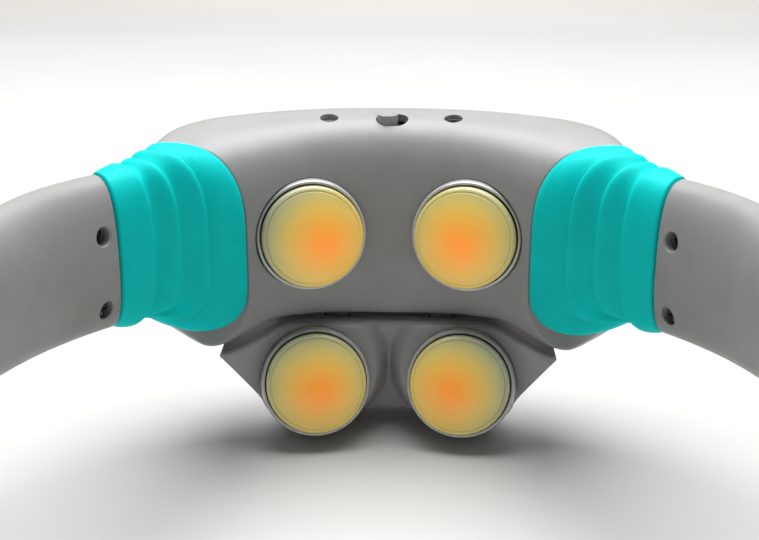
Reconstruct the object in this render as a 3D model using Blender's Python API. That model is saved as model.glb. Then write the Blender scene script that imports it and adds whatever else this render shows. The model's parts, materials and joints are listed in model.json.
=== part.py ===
"""U-shaped neck massager: a grey and white casing, two sprung arms behind silicone bellows,
a tilting lower pad and four sprung, heated contact heads.

Every length below is in millimetres. In the design frame X runs to the wearer's left arm
of the picture plane, +Y points out of the back of the casing and +Z is up; the origin lies between
the faces of the two upper heads. stand_on_origin() then puts the foot's middle at the world origin.
"""

import math

import bmesh
import bpy
import numpy as np
from mathutils import Matrix, Vector

MM = 0.001
GAP = 0.3  # between neighbouring pieces

# ------------------------------------------------------------------ driving dimensions

# Neck-side contour of the U, right half, from the middle of the back to the arm's tip.
CONTOUR = [
    (0, 9.6), (15.5, 7.2), (30, -1.0), (41.8, -10.4), (51.5, -21.8),
    (58.4, -38), (62.4, -60), (63, -80), (58.6, -100), (51.2, -115),
]
# Section of the U against distance along the contour: thickness, top and bottom.
THICKNESS = [
    (0, 21.6), (12, 22.6), (21.5, 24.4), (30, 26.6), (36, 26.8), (40, 25.2), (44, 21.4), (48, 16.8),
    (53, 13.4), (61, 12.9), (85, 13), (125, 12), (160, 10),
]
TOP = [
    (0, 21.6), (30, 21.0), (42, 19.7), (50, 18.2), (56, 17.7), (61, 18), (85, 19.6), (120, 19.4),
    (160, 16),
]
BOTTOM = [
    (0, -22.8), (18, -22.1), (26, -21.9), (33, -24.1), (38, -25.4), (41.5, -24.8), (45, -21.6),
    (49, -17.2), (54, -14.4),
]
SLEEVE_BOTTOM = [
    (30, -21.6), (38, -21.8), (44, -20.2), (50, -16.8), (54, -14.2), (57, -13.3), (61, -13.6),
    (71, -12.5), (80, -11.2), (100, -7.9), (125, -3.5), (160, 1),
]
TOP_SLOPE = [(0, 0.19), (36, 0.17), (48, 0.06), (61, 0.0), (160, 0.0)]
# Superellipse exponents of the four corners: front top, back top, back bottom, front bottom.
CORNERS = [
    (0, 2.8, 4.0, 3.4, 8.0), (34, 3.1, 3.6, 3.2, 7.0), (44, 3.6, 3.0, 3.0, 5.0), (61, 2.8, 2.3, 2.3, 2.8),
    (160, 2.3, 2.2, 2.2, 2.3),
]
# Where the grey and white shells meet, as a share of the half thickness behind the middle.
PARTING = [(0, 0.62), (42, 0.60), (61, 0.42), (160, 0.36)]

# The bellows runs between two slanting rims: distance along the contour, its change from the
# middle to the back, its bulge in the middle, and how far the casing's chin reaches out below.
LARGE_RIM = (39.5, 6.5, 3.6, 11.0)
SMALL_RIM = (61.7, -1.7, 0.0, 0.0)
ARM_TIP = 158.0
BODY_END = 1.22  # the casing goes this far under the bellows, which runs from 1 to 2
ARM_START = 1.86
CUFF_STEP = -1.4  # the shells are set back under the bellows' cuffs
ROUND_END = 2.8  # from here the arm closes in a round end

WALL = 1.8
ARM_WALL = 1.6
HEAD_R = 11.1
RING_R = 12.35
RING_BORE = 11.4
UPPER_HEAD = dict(x=15.6, y=-0.3, z=-0.9, yaw=14.5, pitch=7.0)
LOWER_HEAD = dict(x=15.4, y=-4.4, z=-33.4, yaw=9.0, pitch=16.0)
HEAD_HEIGHT = 7.2  # apex of a head above the face it stands on

LOBE_Z = -36.2
FOOT_Z = -49.4
PAD_MIDDLE_Z = -46.3
PAD_TOP_GAP = 1.0
PAD_TIP = 36.6
PAD_KNEE = (28.0, -40.2)
LOBE_R = 13.4
PAD_SPLIT = 3.2  # front shell's depth behind its face
PAD_DEPTH = 11.5
PAD_WALL = 1.7
ROD = dict(y=15.2, z=-28.2, r=1.2, half=21.5)
LUG_X = 12.0  # the casing's lugs on the rod
KNUCKLE_X = 18.5  # the pad's knuckles on the rod

ARM_SCREWS_AT = 67.6
ARM_SCREWS_Z = (8.0, -7.3)
COVER_SCREW_Q = 0.78
PAD_SCREW = dict(x=31.4, z=-28.5)
BUTTONS_Q = (2.38, 2.465, 2.55)
TOP_FEATURES_Y = 18.6
SLOT = dict(x=0.4, length=7.2, width=5.0)
KNOB = dict(x=-0.6, r=2.3)
SOCKET_X = 14.0
LENS_X = -13.6

# ------------------------------------------------------------------ materials


def material(name, colour, roughness, metallic=0.0, alpha=1.0):
    made = bpy.data.materials.new(name)
    made.use_nodes = True
    shader = made.node_tree.nodes["Principled BSDF"]
    shader.inputs["Base Color"].default_value = (*colour, 1.0)
    shader.inputs["Roughness"].default_value = roughness
    shader.inputs["Metallic"].default_value = metallic
    shader.inputs["Alpha"].default_value = alpha
    return made


def make_materials():
    return {
        "grey_plastic": material("grey_plastic", (0.22, 0.22, 0.22), 0.45),
        "white_plastic": material("white_plastic", (0.88, 0.88, 0.87), 0.3),
        "teal_silicone": material("teal_silicone", (0.0, 0.65, 0.62), 0.5),
        "silver_ring": material("silver_ring", (0.6, 0.6, 0.6), 0.3),
        "warm_plate": material("warm_plate", (0.86, 0.56, 0.22), 0.3),
        "steel": material("steel", (0.62, 0.62, 0.63), 0.3, 1.0),
        "board_green": material("board_green", (0.02, 0.2, 0.1), 0.5),
        "cell_wrap": material("cell_wrap", (0.1, 0.2, 0.5), 0.4),
        "black_plastic": material("black_plastic", (0.03, 0.03, 0.03), 0.5),
        "heater_film": material("heater_film", (0.5, 0.2, 0.05), 0.4),
        "smoked_lens": material("smoked_lens", (0.15, 0.15, 0.15), 0.2),
    }


# ------------------------------------------------------------------ smooth curves


def smooth(keys, at):
    """Value of a smooth curve through keys of (position, value, ...), read at one position."""
    table = np.array(keys, float)
    place, values = table[:, 0], table[:, 1:]
    slopes = np.zeros_like(values)
    slopes[1:-1] = (values[2:] - values[:-2]) / (place[2:] - place[:-2])[:, None]
    slopes[-1] = (values[-1] - values[-2]) / (place[-1] - place[-2])
    at = min(max(at, place[0]), place[-1])
    i = min(int(np.searchsorted(place, at, "right")) - 1, len(place) - 2)
    width = place[i + 1] - place[i]
    u = (at - place[i]) / width
    value = (
        (1 + 2 * u) * (1 - u) ** 2 * values[i]
        + u * (1 - u) ** 2 * width * slopes[i]
        + u * u * (3 - 2 * u) * values[i + 1]
        + u * u * (u - 1) * width * slopes[i + 1]
    )
    return value if len(value) > 1 else float(value[0])


def measure_contour():
    """Points of the contour with their distance from the middle of the back."""
    steps = np.hypot(*np.diff(np.array(CONTOUR, float), axis=0).T)
    keys = [(d, x, y) for d, (x, y) in zip(np.r_[0, np.cumsum(steps)], CONTOUR)]
    # At the middle the curve runs straight across.
    keys = [(-keys[1][0], -keys[1][1], keys[1][2])] + keys
    points = np.array([smooth(keys, at) for at in np.linspace(0, keys[-1][0], 600)])
    distance = np.r_[0, np.cumsum(np.hypot(*np.diff(points, axis=0).T))]
    return distance, points


DISTANCE, POINTS = measure_contour()


def point_at(s):
    return np.array([np.interp(s, DISTANCE, POINTS[:, k]) for k in (0, 1)])


def contour(s):
    """Point of the contour at distance s and the direction out of the U there, for the right half."""
    here = point_at(s)
    before, after = point_at(max(s - 1, 0)), point_at(min(s + 1, DISTANCE[-1]))
    along = (after - before) / np.linalg.norm(after - before)
    if s < 1:
        along = np.array([1.0, 0.0]) * (1 - s) + along * s
        along /= np.linalg.norm(along)
    return here, np.array([-along[1], along[0]])


def contour_y(x):
    """Depth of the neck-side contour at a given x, for the casing and the lower pad."""
    near = DISTANCE < 62
    return float(np.interp(abs(x), POINTS[near, 0], POINTS[near, 1]))


def distance_at(q, share, up=0.0):
    """Distance along the contour at zone coordinate q: 0 middle, 1 large rim, 2 small rim, 3 tip.
    share is -1 on the neck side and 1 on the outer side, because the rims slant; up is 1 on top
    and -1 at the bottom."""
    low = max(-up, 0) ** 9 * (1 - share) / 2
    rims = [
        middle + change * share + bulge * (1 - share * share) + chin * low
        for middle, change, bulge, chin in (LARGE_RIM, SMALL_RIM)
    ]
    marks = [0, *rims, ARM_TIP]
    return float(np.interp(q, [0, 1, 2, 3], marks))


def surface(q, turn, offset=0.0):
    """Point of the U's outer surface. q is the zone coordinate, negative on the left half. turn goes
    round the section: 0 neck side, 0.25 top, 0.5 outer side, 0.75 bottom. offset is outwards."""
    c, s = math.cos(2 * math.pi * turn), math.sin(2 * math.pi * turn)
    corner = (0 if s >= 0 else 3) if c >= 0 else (1 if s >= 0 else 2)
    at = distance_at(abs(q), -c)
    p = smooth(CORNERS, at)[corner]
    across = -math.copysign(abs(c) ** (2 / p), c)
    up = math.copysign(abs(s) ** (2 / p), s)
    at = distance_at(abs(q), across, up)
    half = smooth(THICKNESS, at) / 2
    top, bottom = smooth(TOP, at), smooth(BOTTOM if abs(q) < 0.99 else SLEEVE_BOTTOM, at)
    end = math.sqrt(max(1 - (max(abs(q) - ROUND_END, 0) / (3 - ROUND_END)) ** 2, 0.0))
    high, centre = (top - bottom) / 2 * end, (top + bottom) / 2
    shrink = half * (1 - end)
    half *= end
    slope = (
        math.copysign(abs(across) ** (p - 1), across) / max(half, 0.01),
        math.copysign(abs(up) ** (p - 1), up) / max(high, 0.01),
    )
    size = math.hypot(*slope)
    n = shrink + half * (1 + across) + offset * slope[0] / size
    z = centre + high * up + smooth(TOP_SLOPE, at) * half * across * max(up, 0) + offset * slope[1] / size
    here, out = contour(at)
    x, y = here + out * n
    return Vector((math.copysign(1, q) * x if q else x, y, z))


def parting_turns(q):
    """The turns, on the top and on the bottom, where the two shells meet."""
    at = distance_at(abs(q), 0.6)
    share = smooth(PARTING, at)
    _, back_top, back_bottom, _ = smooth(CORNERS, at)
    top = 0.5 - math.acos(share ** (back_top / 2)) / (2 * math.pi)
    bottom = 0.5 + math.acos(share ** (back_bottom / 2)) / (2 * math.pi)
    return top, bottom


# ------------------------------------------------------------------ mesh tools


def finish_mesh(bm, name):
    bmesh.ops.recalc_face_normals(bm, faces=bm.faces)
    for vertex in bm.verts:
        vertex.co *= MM
    mesh = bpy.data.meshes.new(name)
    bm.to_mesh(mesh)
    bm.free()
    mesh.shade_smooth()
    mesh.set_sharp_from_angle(angle=math.radians(35))
    return mesh


def loft(rings, closed=False, fan=False):
    """A skin over rings of points. Its two ends are joined if closed, or else capped, by triangles
    round their middles if fan."""
    bm = bmesh.new()
    rows = [[bm.verts.new(point) for point in ring] for ring in rings]
    pairs = list(zip(rows, rows[1:])) + ([(rows[-1], rows[0])] if closed else [])
    count = len(rows[0])
    for a, b in pairs:
        for i in range(count):
            j = (i + 1) % count
            bm.faces.new((a[i], a[j], b[j], b[i]))
    for row in [] if closed else [rows[0][::-1], rows[-1]]:
        if fan:
            middle = bm.verts.new(sum((v.co for v in row), Vector()) / count)
            for a, b in zip(row, row[1:] + row[:1]):
                bm.faces.new((a, b, middle))
        else:
            bm.faces.new(row)
    return bm


def turned(profile, segments=20):
    """A solid of revolution about Z from (radius, height) points, closed on itself."""
    bm = bmesh.new()
    edge = [bm.verts.new((r, 0, z)) for r, z in profile]
    edges = [bm.edges.new(pair) for pair in zip(edge, edge[1:])]
    if profile[0][0] > 0 and profile[-1][0] > 0:
        edges.append(bm.edges.new((edge[-1], edge[0])))
    geometry = edge + edges
    whole = 2 * math.pi
    bmesh.ops.spin(
        bm, geom=geometry, angle=whole, steps=segments, axis=(0, 0, 1), cent=(0, 0, 0), use_merge=True
    )
    bmesh.ops.remove_doubles(bm, verts=bm.verts, dist=1e-4)
    bmesh.ops.dissolve_degenerate(bm, edges=bm.edges, dist=1e-4)
    return bm


def block(low, high):
    bm = bmesh.new()
    bmesh.ops.create_cube(bm, size=1)
    for vertex in bm.verts:
        for k in range(3):
            vertex.co[k] = low[k] if vertex.co[k] < 0 else high[k]
    return bm


def rod(radius, low, high, segments=16, at=(0, 0)):
    bm = turned([(0, low), (radius, low), (radius, high), (0, high)], segments)
    bmesh.ops.translate(bm, verts=bm.verts, vec=(*at, 0))
    return bm


def slab(xs, rows, top, bottom, front, back):
    """A closed block between two sheets, front(x, z) and back(x, z), from top(x) to bottom(x)."""
    rings = []
    for x in xs:
        heights = [top(x) + (bottom(x) - top(x)) * k / rows for k in range(rows + 1)]
        ring = [Vector((x, front(x, z), z)) for z in heights]
        ring += [Vector((x, back(x, z), z)) for z in reversed(heights)]
        rings.append(ring)
    return loft(rings)


def coil(radius, wire, low, high, turns, per_turn=9, sides=4):
    """A compression or torsion spring about Z as a closed tube."""
    rings = []
    steps = int(turns * per_turn)
    for k in range(steps + 1):
        angle = 2 * math.pi * k / per_turn
        height = low + (high - low) * k / steps
        out = Vector((math.cos(angle), math.sin(angle), 0))
        rings.append(
            [
                out * (radius + wire * math.cos(2 * math.pi * j / sides))
                + Vector((0, 0, height + wire * math.sin(2 * math.pi * j / sides)))
                for j in range(sides)
            ]
        )
    return loft(rings)


# ------------------------------------------------------------------ objects


class Model:
    """Places pieces, cuts them and keeps the empties that the moving bodies hang on."""

    def __init__(self):
        self.materials = make_materials()
        self.root = self.empty("massager", Matrix.Identity(4), None)

    def empty(self, name, matrix, parent):
        made = bpy.data.objects.new(name, None)
        bpy.context.scene.collection.objects.link(made)
        made.parent = parent
        made.matrix_local = matrix
        made.empty_display_size = 10 * MM
        return made

    def piece(self, name, bm, finish, parent=None, turn_to=None):
        """A node from a mesh in the frame of turn_to, a matrix in millimetres, or of its parent."""
        mesh = finish_mesh(bm, name)
        mesh.materials.append(self.materials[finish])
        made = bpy.data.objects.new(name, mesh)
        bpy.context.scene.collection.objects.link(made)
        made.parent = parent or self.root
        if turn_to is not None:
            made.matrix_local = metres(turn_to)
        return made

    def tool(self, bm, turn_to=None):
        """A hidden cutter, in the design frame or in the frame of turn_to."""
        made = self.piece("tool", bm, "steel", turn_to=turn_to)
        made.hide_render = True
        made.display_type = "WIRE"
        return made

    def apply(self, target, tool, operation):
        """Cuts or joins at once, and removes the tool."""
        modifier = target.modifiers.new(operation.lower(), "BOOLEAN")
        modifier.object = tool
        modifier.operation = operation
        modifier.solver = "EXACT"
        bpy.context.view_layer.update()
        graph = bpy.context.evaluated_depsgraph_get()
        mesh = bpy.data.meshes.new_from_object(target.evaluated_get(graph), depsgraph=graph)
        target.modifiers.clear()
        target.data = mesh
        bpy.data.objects.remove(tool)

    def cut(self, target, bm, turn_to=None):
        self.apply(target, self.tool(bm, turn_to), "DIFFERENCE")

    def join(self, target, bm, turn_to=None):
        self.apply(target, self.tool(bm, turn_to), "UNION")


def metres(matrix):
    scaled = matrix.copy()
    scaled.translation = matrix.translation * MM
    return scaled


def frame_along(origin, axis):
    """A frame with its Z along axis."""
    made = Vector(axis).to_track_quat("Z", "Y").to_matrix().to_4x4()
    made.translation = Vector(origin)
    return made


def head_frame(place, side):
    """Frame of a head: origin where its axis meets the face that it stands on, Z out of the face."""
    yaw, pitch = math.radians(place["yaw"]), math.radians(place["pitch"])
    level = math.cos(pitch)
    axis = Vector((-side * math.sin(yaw) * level, -math.cos(yaw) * level, math.sin(pitch)))
    apex = Vector((side * place["x"], place["y"], place["z"]))
    return frame_along(apex - axis * HEAD_HEIGHT, axis)


def spread(low, high, count):
    return [low + (high - low) * k / (count - 1) for k in range(count)]


# ------------------------------------------------------------------ casing of the U

BODY_QS = (0, 0.2, 0.4, 0.57, 0.7, 0.8, 0.88, 0.94, 0.985)
BODY_ARCS = (20, 12)  # points round the grey shell and round the white one
ARM_ARCS = (13, 10)


def section_turns(q, white, arc):
    """Turns of one shell's outer surface, from one parting line to the other."""
    top, bottom = parting_turns(q)
    lip = 0.006 if abs(q) < 1.5 else 0.014
    if white:
        return spread(top + lip, bottom - lip, arc)
    return spread(bottom + lip, 1 + top - lip, arc)


def shell_half(stations, white, arc, side=1):
    """A solid of one shell of the U: its outer surface, closed by a flat parting face."""
    rings = []
    for q, offset in stations:
        turns = section_turns(q, white, arc)
        rings.append([surface(side * q, turn % 1, offset) for turn in turns])
    return loft(rings, fan=True)


def cavity(stations, grey_arc, white_arc):
    """The hollow inside both shells, with the same turns as they have."""
    rings = []
    for q, offset in stations:
        turns = section_turns(q, False, grey_arc) + section_turns(q, True, white_arc)
        rings.append([surface(q, turn % 1, offset) for turn in turns])
    return loft(rings, fan=True)


def both_halves(half):
    """Stations of the whole casing from those of its right half, the first of them in the middle."""
    return [(-q, offset) for q, offset in reversed(half[1:])] + half


def body_stations():
    half = [(q, 0) for q in BODY_QS]
    return both_halves(half + [(1, CUFF_STEP), (BODY_END, CUFF_STEP)])


def body_cavity():
    half = [(q, -WALL) for q in BODY_QS]
    half += [(1, -WALL + CUFF_STEP * 0.7), (BODY_END + 0.12, -WALL + CUFF_STEP * 0.7)]
    return cavity(both_halves(half), *BODY_ARCS)


def surface_frame(q, turn, inwards=0.0):
    """A frame on the U's surface with its Z pointing out of it, level."""
    here = surface(q, turn)
    at = distance_at(abs(q), -math.cos(2 * math.pi * turn))
    _, out = contour(at)
    direction = Vector((math.copysign(out[0], q), out[1], 0)) * -math.cos(2 * math.pi * turn)
    return frame_along(here - direction * inwards, direction)


def make_casing(model):
    """The grey front housing, with its openings and the lugs of the pad, and the white rear cover."""
    front = model.piece("front_housing", shell_half(body_stations(), False, BODY_ARCS[0]), "grey_plastic")
    model.cut(front, body_cavity())
    rear = model.piece("rear_cover", shell_half(body_stations(), True, BODY_ARCS[1]), "white_plastic")
    model.cut(rear, body_cavity())
    for side in (-1, 1):
        model.cut(front, head_seat(), head_frame(UPPER_HEAD, side))
    slot = stadium(SLOT["length"], SLOT["width"], 12, 30)
    model.cut(front, slot, Matrix.Translation((SLOT["x"], TOP_FEATURES_Y, 0)))
    for x in (SOCKET_X, LENS_X):
        model.cut(front, rod(2.0, 12, 30, 20, (x, TOP_FEATURES_Y)))
    for side in (-1, 1):
        low, high = side * LUG_X - 2.5, side * LUG_X + 2.5
        model.join(front, block((low, ROD["y"] - 2.0, ROD["z"]), (high, ROD["y"] + 2.0, -20)))
        across = frame_along((low, ROD["y"], ROD["z"]), (1, 0, 0))
        model.join(front, rod(2.1, -0.1, 5.1, 16), across)
        model.cut(front, rod(ROD["r"] + 0.15, -3, 9, 16), across)
    for side, word in ((-1, "left"), (1, "right")):
        frame = surface_frame(side * COVER_SCREW_Q, 0.5)
        model.join(front, rod(2.4, -25.7, -3.1, 14), frame)
        model.cut(front, rod(1.15, -10, -2, 12), frame)
        model.join(rear, rod(2.9, -2.8, -1.0, 16), frame)
        model.cut(rear, rod(2.1, -1.6, 3, 16), frame)
        model.cut(rear, rod(1.25, -5, 0, 12), frame)
        model.piece(f"cover_screw_{word}", screw(-8.5, -1.3), "steel", turn_to=frame)
    return front, rear


def screw(tip, seat):
    """A self-tapping screw along Z, head outwards, the head's underside at seat."""
    head = [(0.9, seat), (1.7, seat), (1.7, seat + 0.8), (1.2, seat + 1.2), (0, seat + 1.2)]
    return turned([(0, tip), (0.9, tip)] + head, 10)


def upright(x):
    return Matrix.Translation((x, TOP_FEATURES_Y, 0))


def make_top_pieces(model):
    """The slide switch and its knob, the charging socket and the indicator lens."""
    body = model.piece("slide_switch_body", block((-5.5, 17.1, 13.2), (6.3, 21.4, 18.0)), "black_plastic")
    model.cut(body, block((-2.2, 17.6, 16.6), (3.2, 19.6, 20)))
    empty = model.empty("switch_slide", metres(upright(KNOB["x"])), model.root)
    r = KNOB["r"]
    knob = [(0, 16.9), (0.8, 16.9), (0.8, 18.9), (r, 18.9)]
    knob += [(r, 22.1), (r - 0.3, 22.4), (r - 0.7, 22.4), (0, 22.0)]
    model.piece("switch_knob", turned(knob, 16), "grey_plastic", empty)
    jack = [(0, 12), (2.6, 12), (2.6, 18.4), (1.75, 18.4), (1.75, 20.6)]
    jack += [(1.0, 20.6), (1.0, 13.5), (0, 13.5)]
    model.piece("charging_socket", turned(jack, 16), "black_plastic", turn_to=upright(SOCKET_X))
    lens = [(0, 16.5), (2.6, 16.5), (2.6, 18.4), (1.75, 18.4), (1.75, 20.7), (0, 20.7)]
    model.piece("indicator_lens", turned(lens, 16), "smoked_lens", turn_to=upright(LENS_X))


def make_works(model):
    """The battery and the circuit board with its beeper."""
    model.piece("battery", block((-19, 20.4, -13), (19, 26.4, 10)), "cell_wrap")
    model.piece("circuit_board", block((-25, 18.2, -16), (25, 19.4, 10)), "board_green")
    on_board = frame_along((-0.5, 18.2, 2), (0, -1, 0))
    model.piece("beeper", rod(4.0, 0.3, 2.6, 14), "black_plastic", turn_to=on_board)


def stadium(length, width, low, high, arc=8):
    """A prism with round ends, its length along X."""
    r, half = width / 2, (length - width) / 2
    outline = [(half + r * math.cos(a), r * math.sin(a)) for a in spread(-math.pi / 2, math.pi / 2, arc)]
    outline += [(-x, -y) for x, y in outline]
    return loft([[Vector((x, y, z)) for x, y in outline] for z in (low, high)])


# Shares of the way from the large rim to the small one where the bellows' crests lie: on the neck
# side, on top, on the outer side and at the bottom, where the folds close up.
CRESTS = [(0.32, 0.545, 0.75), (0.33, 0.55, 0.74), (0.42, 0.58, 0.72), (0.66, 0.71, 0.76)]


def crest_share(place, turn):
    """Share of the way to the small rim: place is 0 at the large rim, 1 to 3 at the crests, 4 there."""
    quarter, low = divmod(turn * 4, 1)
    low = low * low * (3 - 2 * low)
    here, there = CRESTS[int(quarter) % 4], CRESTS[(int(quarter) + 1) % 4]
    crests = [a * (1 - low) + b * low for a, b in zip(here, there)]
    return float(np.interp(place, range(5), [0, *crests, 1]))


def make_bellows(model, side, name):
    """The silicone sleeve between casing and arm: cuffs and folds with a steep face to the casing."""
    profile = [
        (0.0, 0.2), (0.1, 0.6), (0.5, 0.65), (0.85, 0.1), (0.97, 1.6), (1.15, 1.7), (1.5, 0.6),
        (1.82, 0.1), (1.96, 1.4), (2.15, 1.5), (2.5, 0.6), (2.8, 0.1), (2.96, 1.2), (3.4, 1.1),
        (3.9, 0.5), (4.0, 0.1),
    ]
    inside = [
        (4.0, -0.6), (3.4, -0.6), (2.9, -0.75), (2.2, -0.4), (1.8, -0.9), (1.2, -0.3), (0.8, -0.5),
        (0.0, -0.45),
    ]
    count = 24
    rings = []
    for place, offset in profile + inside:
        turns = [k / count for k in range(count)]
        rings.append([surface(side * (1 + crest_share(place, turn)), turn, offset) for turn in turns])
    return model.piece(name, loft(rings, closed=True), "teal_silicone")


# ------------------------------------------------------------------ arms


def arm_stations():
    return [(ARM_START, CUFF_STEP), (2.001, CUFF_STEP), (2.009, 0)] + [
        (q, 0) for q in (2.12, 2.26, 2.4, 2.53, 2.65, 2.74, 2.82, 2.89, 2.95, 2.985)
    ]


def arm_cavity(side):
    stations = [(ARM_START - 0.08, CUFF_STEP * 0.7), (1.99, CUFF_STEP * 0.7)]
    stations += [(q, 0) for q in (2.12, 2.26, 2.4, 2.53, 2.65, 2.74, 2.82)]
    return cavity([(side * q, offset - ARM_WALL) for q, offset in stations], *ARM_ARCS)


def arm_screw_frame(side, z):
    """Frame at a screw on the neck side of an arm, Z pointing out of the neck side face."""
    here, out = contour(ARM_SCREWS_AT)
    inwards = Vector((-side * out[0], -out[1], 0))
    return frame_along((side * here[0], here[1], z), inwards)


def arm_pivot(side):
    """Middle of the bellows, where the arm turns, and the heading of the arm there."""
    at = distance_at(1.55, 0)
    here, out = contour(at)
    middle = here + out * smooth(THICKNESS, at) / 2
    start = arm_screw_frame(side, 0) @ Vector((0, 0, -smooth(THICKNESS, ARM_SCREWS_AT) / 2))
    pivot = Vector((side * middle[0], middle[1], 0))
    heading = math.atan2(start.y - pivot.y, start.x - pivot.x)
    return pivot, heading


def make_controls(model, arm, outer):
    """Three push buttons on the outer face of the right arm, each sliding inwards, over a small board."""
    pivot, _ = arm_pivot(1)
    back = Matrix.Translation(-pivot)
    for q, name in zip(BUTTONS_Q, ("plus_button", "mode_button", "minus_button")):
        frame = surface_frame(q, 0.5)
        model.cut(outer, rod(2.9, -4, 4, 18), frame)
        empty = model.empty(f"{name}_slide", metres(back @ frame), arm)
        button = [(0, -3.7), (1, -3.7), (1, -3), (3.5, -3), (3.5, -2.4)]
        button += [(2.6, -2.4), (2.6, 0.5), (2.2, 0.9), (0, 1)]
        model.piece(name, turned(button, 16), "white_plastic", empty)
    frame = back @ surface_frame(BUTTONS_Q[1], 0.5)
    model.piece("button_board", block((-12, -3.6, -6.4), (12, 3.6, -5.4)), "board_green", arm, frame)


def make_arm(model, side, word):
    """One arm: two shells, two screws and the hinge leaf, all hung on the hinge's axis."""
    pivot, heading = arm_pivot(side)
    empty = model.empty(f"{word}_arm_pivot", metres(Matrix.Translation(pivot)), model.root)
    back = Matrix.Translation(-pivot)
    inner = shell_half(arm_stations(), False, ARM_ARCS[0], side)
    inner = model.piece(f"{word}_arm_inner_shell", inner, "grey_plastic")
    outer = shell_half(arm_stations(), True, ARM_ARCS[1], side)
    outer = model.piece(f"{word}_arm_outer_shell", outer, "white_plastic")
    for made in (inner, outer):
        model.cut(made, arm_cavity(side))
    for z in ARM_SCREWS_Z:
        frame = arm_screw_frame(side, z)
        model.join(inner, rod(3.0, -4.6, -1.0, 14), frame)
        model.cut(inner, rod(1.9, -3.2, 3, 18), frame)
        model.cut(inner, rod(1.2, -6, 0, 12), frame)
        model.join(outer, rod(2.0, -11.8, -8.0, 12), frame)
        model.cut(outer, rod(1.05, -10.8, -6, 12), frame)
        place = "upper" if z > 0 else "lower"
        model.piece(f"{word}_arm_screw_{place}", screw(-10.2, -2.9), "steel", empty, back @ frame)
    if side > 0:
        make_controls(model, empty, outer)
    make_leaf(model, empty, side, word, heading, pivot)
    for made in (inner, outer):
        made.parent = empty
        made.matrix_local = metres(back)
    return empty


def make_leaf(model, empty, side, word, heading, pivot):
    """The steel hinge leaf: an eye on the pin and a strip into the arm."""
    frame = Matrix.Rotation(heading, 4, "Z")
    leaf = model.piece(f"{word}_arm_leaf", rod(2.5, -4.0, 1.4, 14), "steel", empty, frame)
    here = Matrix.Translation(pivot) @ frame
    leaf.parent = model.root
    leaf.matrix_local = metres(here)
    model.join(leaf, block((1.0, -0.7, -3.4), (15.0, 0.7, 0.8)), here)
    model.cut(leaf, rod(1.35, -9, 9, 14), here)
    leaf.parent = empty
    leaf.matrix_local = metres(frame)
    spring = coil(1.95, 0.3, 1.9, 3.9, 3, 8)
    model.piece(f"{word}_hinge_spring", spring, "steel", turn_to=here)


def make_hinge(model, side, word):
    """Casing side of the arm's hinge: a steel bracket with two ears, and its pin."""
    pivot, heading = arm_pivot(side)
    frame = Matrix.Translation(pivot) @ Matrix.Rotation(heading, 4, "Z")
    bracket = model.piece(f"{word}_hinge_bracket", rod(2.6, 4.4, 6.4, 14), "steel", turn_to=frame)
    model.join(bracket, rod(2.6, -6.4, -4.4, 14), frame)
    model.join(bracket, block((-9.0, -0.8, -6.4), (-1.0, 0.8, 6.4)), frame)
    model.cut(bracket, block((-3.4, -4, -4.4), (4, 4, 4.4)), frame)
    model.cut(bracket, rod(1.35, -9, 9, 14), frame)
    model.piece(f"{word}_hinge_pin", rod(1.05, -7.4, 7.4, 12), "steel", turn_to=frame)


# ------------------------------------------------------------------ heads


def head_seat():
    """Cutter for the stepped opening that a socket ring sits in."""
    around = RING_R + GAP
    return turned([(0, -5.3), (RING_R, -5.3), (RING_R, -1.9), (around, -1.9), (around, 9), (0, 9)], 20)


def make_head(model, name, frame, parent, inverse):
    """One contact head: a fixed socket ring, and a sprung plate, cup and heater that press into it."""
    ring = [(RING_BORE, 2.9), (RING_R - 0.4, 2.9), (RING_R, 0.6), (RING_R, -1.6)]
    ring += [(RING_R - 0.3, -2.2), (RING_R - 0.3, -4.8)]
    ring += [(3.6, -4.8), (3.6, -3.9), (10.9, -3.9), (10.9, -1.4), (RING_BORE, -1.0)]
    model.piece(f"{name}_ring", turned(ring, 18), "silver_ring", parent, inverse @ frame)
    empty = model.empty(f"{name}_slide", metres(inverse @ frame), parent)
    dome = [(HEAD_R, 3.1), (HEAD_R, 4.4), (10.3, 5.2), (7.6, 6.25), (4.0, 6.95), (0, HEAD_HEIGHT)]
    under = [(0, 6.0), (7.6, 5.1), (10.2, 3.9), (10.2, 3.1)]
    model.piece(f"{name}_plate", turned(dome + under, 18), "warm_plate", empty)
    cup = [(0, 3.0), (9.8, 3.0), (9.8, 2.7), (10.5, 2.7), (10.5, -1.2), (9.6, -1.2), (9.6, 1.4)]
    cup += [(3.2, 1.4), (3.2, -7.2), (0, -7.2)]
    model.piece(f"{name}_cup", turned(cup, 12), "black_plastic", empty)
    heater = turned([(0, 3.3), (7.6, 3.3), (7.6, 3.9), (0, 4.3)], 14)
    model.piece(f"{name}_heater", heater, "heater_film", empty)
    model.piece(f"{name}_spring", coil(5.0, 0.35, -3.2, 0.8, 2.5, 8), "steel", parent, inverse @ frame)
    return empty


# ------------------------------------------------------------------ lower pad


def pad_top(x):
    near = DISTANCE < 62
    at = float(np.interp(abs(x), POINTS[near, 0], DISTANCE[near]))
    return smooth(BOTTOM, at) - PAD_TOP_GAP


def pad_bottom(x):
    """Lower outline: a lobe under each head, a flat middle and a slanting edge to each wing tip."""
    x = abs(x)
    tip_z = pad_top(PAD_TIP) - 0.4
    if x > PAD_KNEE[0]:
        return PAD_KNEE[1] + (x - PAD_KNEE[0]) * (tip_z - PAD_KNEE[1]) / (PAD_TIP - PAD_KNEE[0])
    lobe = LOBE_Z - math.sqrt(max(LOBE_R**2 - (x - LOWER_HEAD["x"]) ** 2, 3.0))
    lobe = min(lobe, PAD_MIDDLE_Z) if x < LOWER_HEAD["x"] else lobe
    return max(lobe, FOOT_Z)


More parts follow.
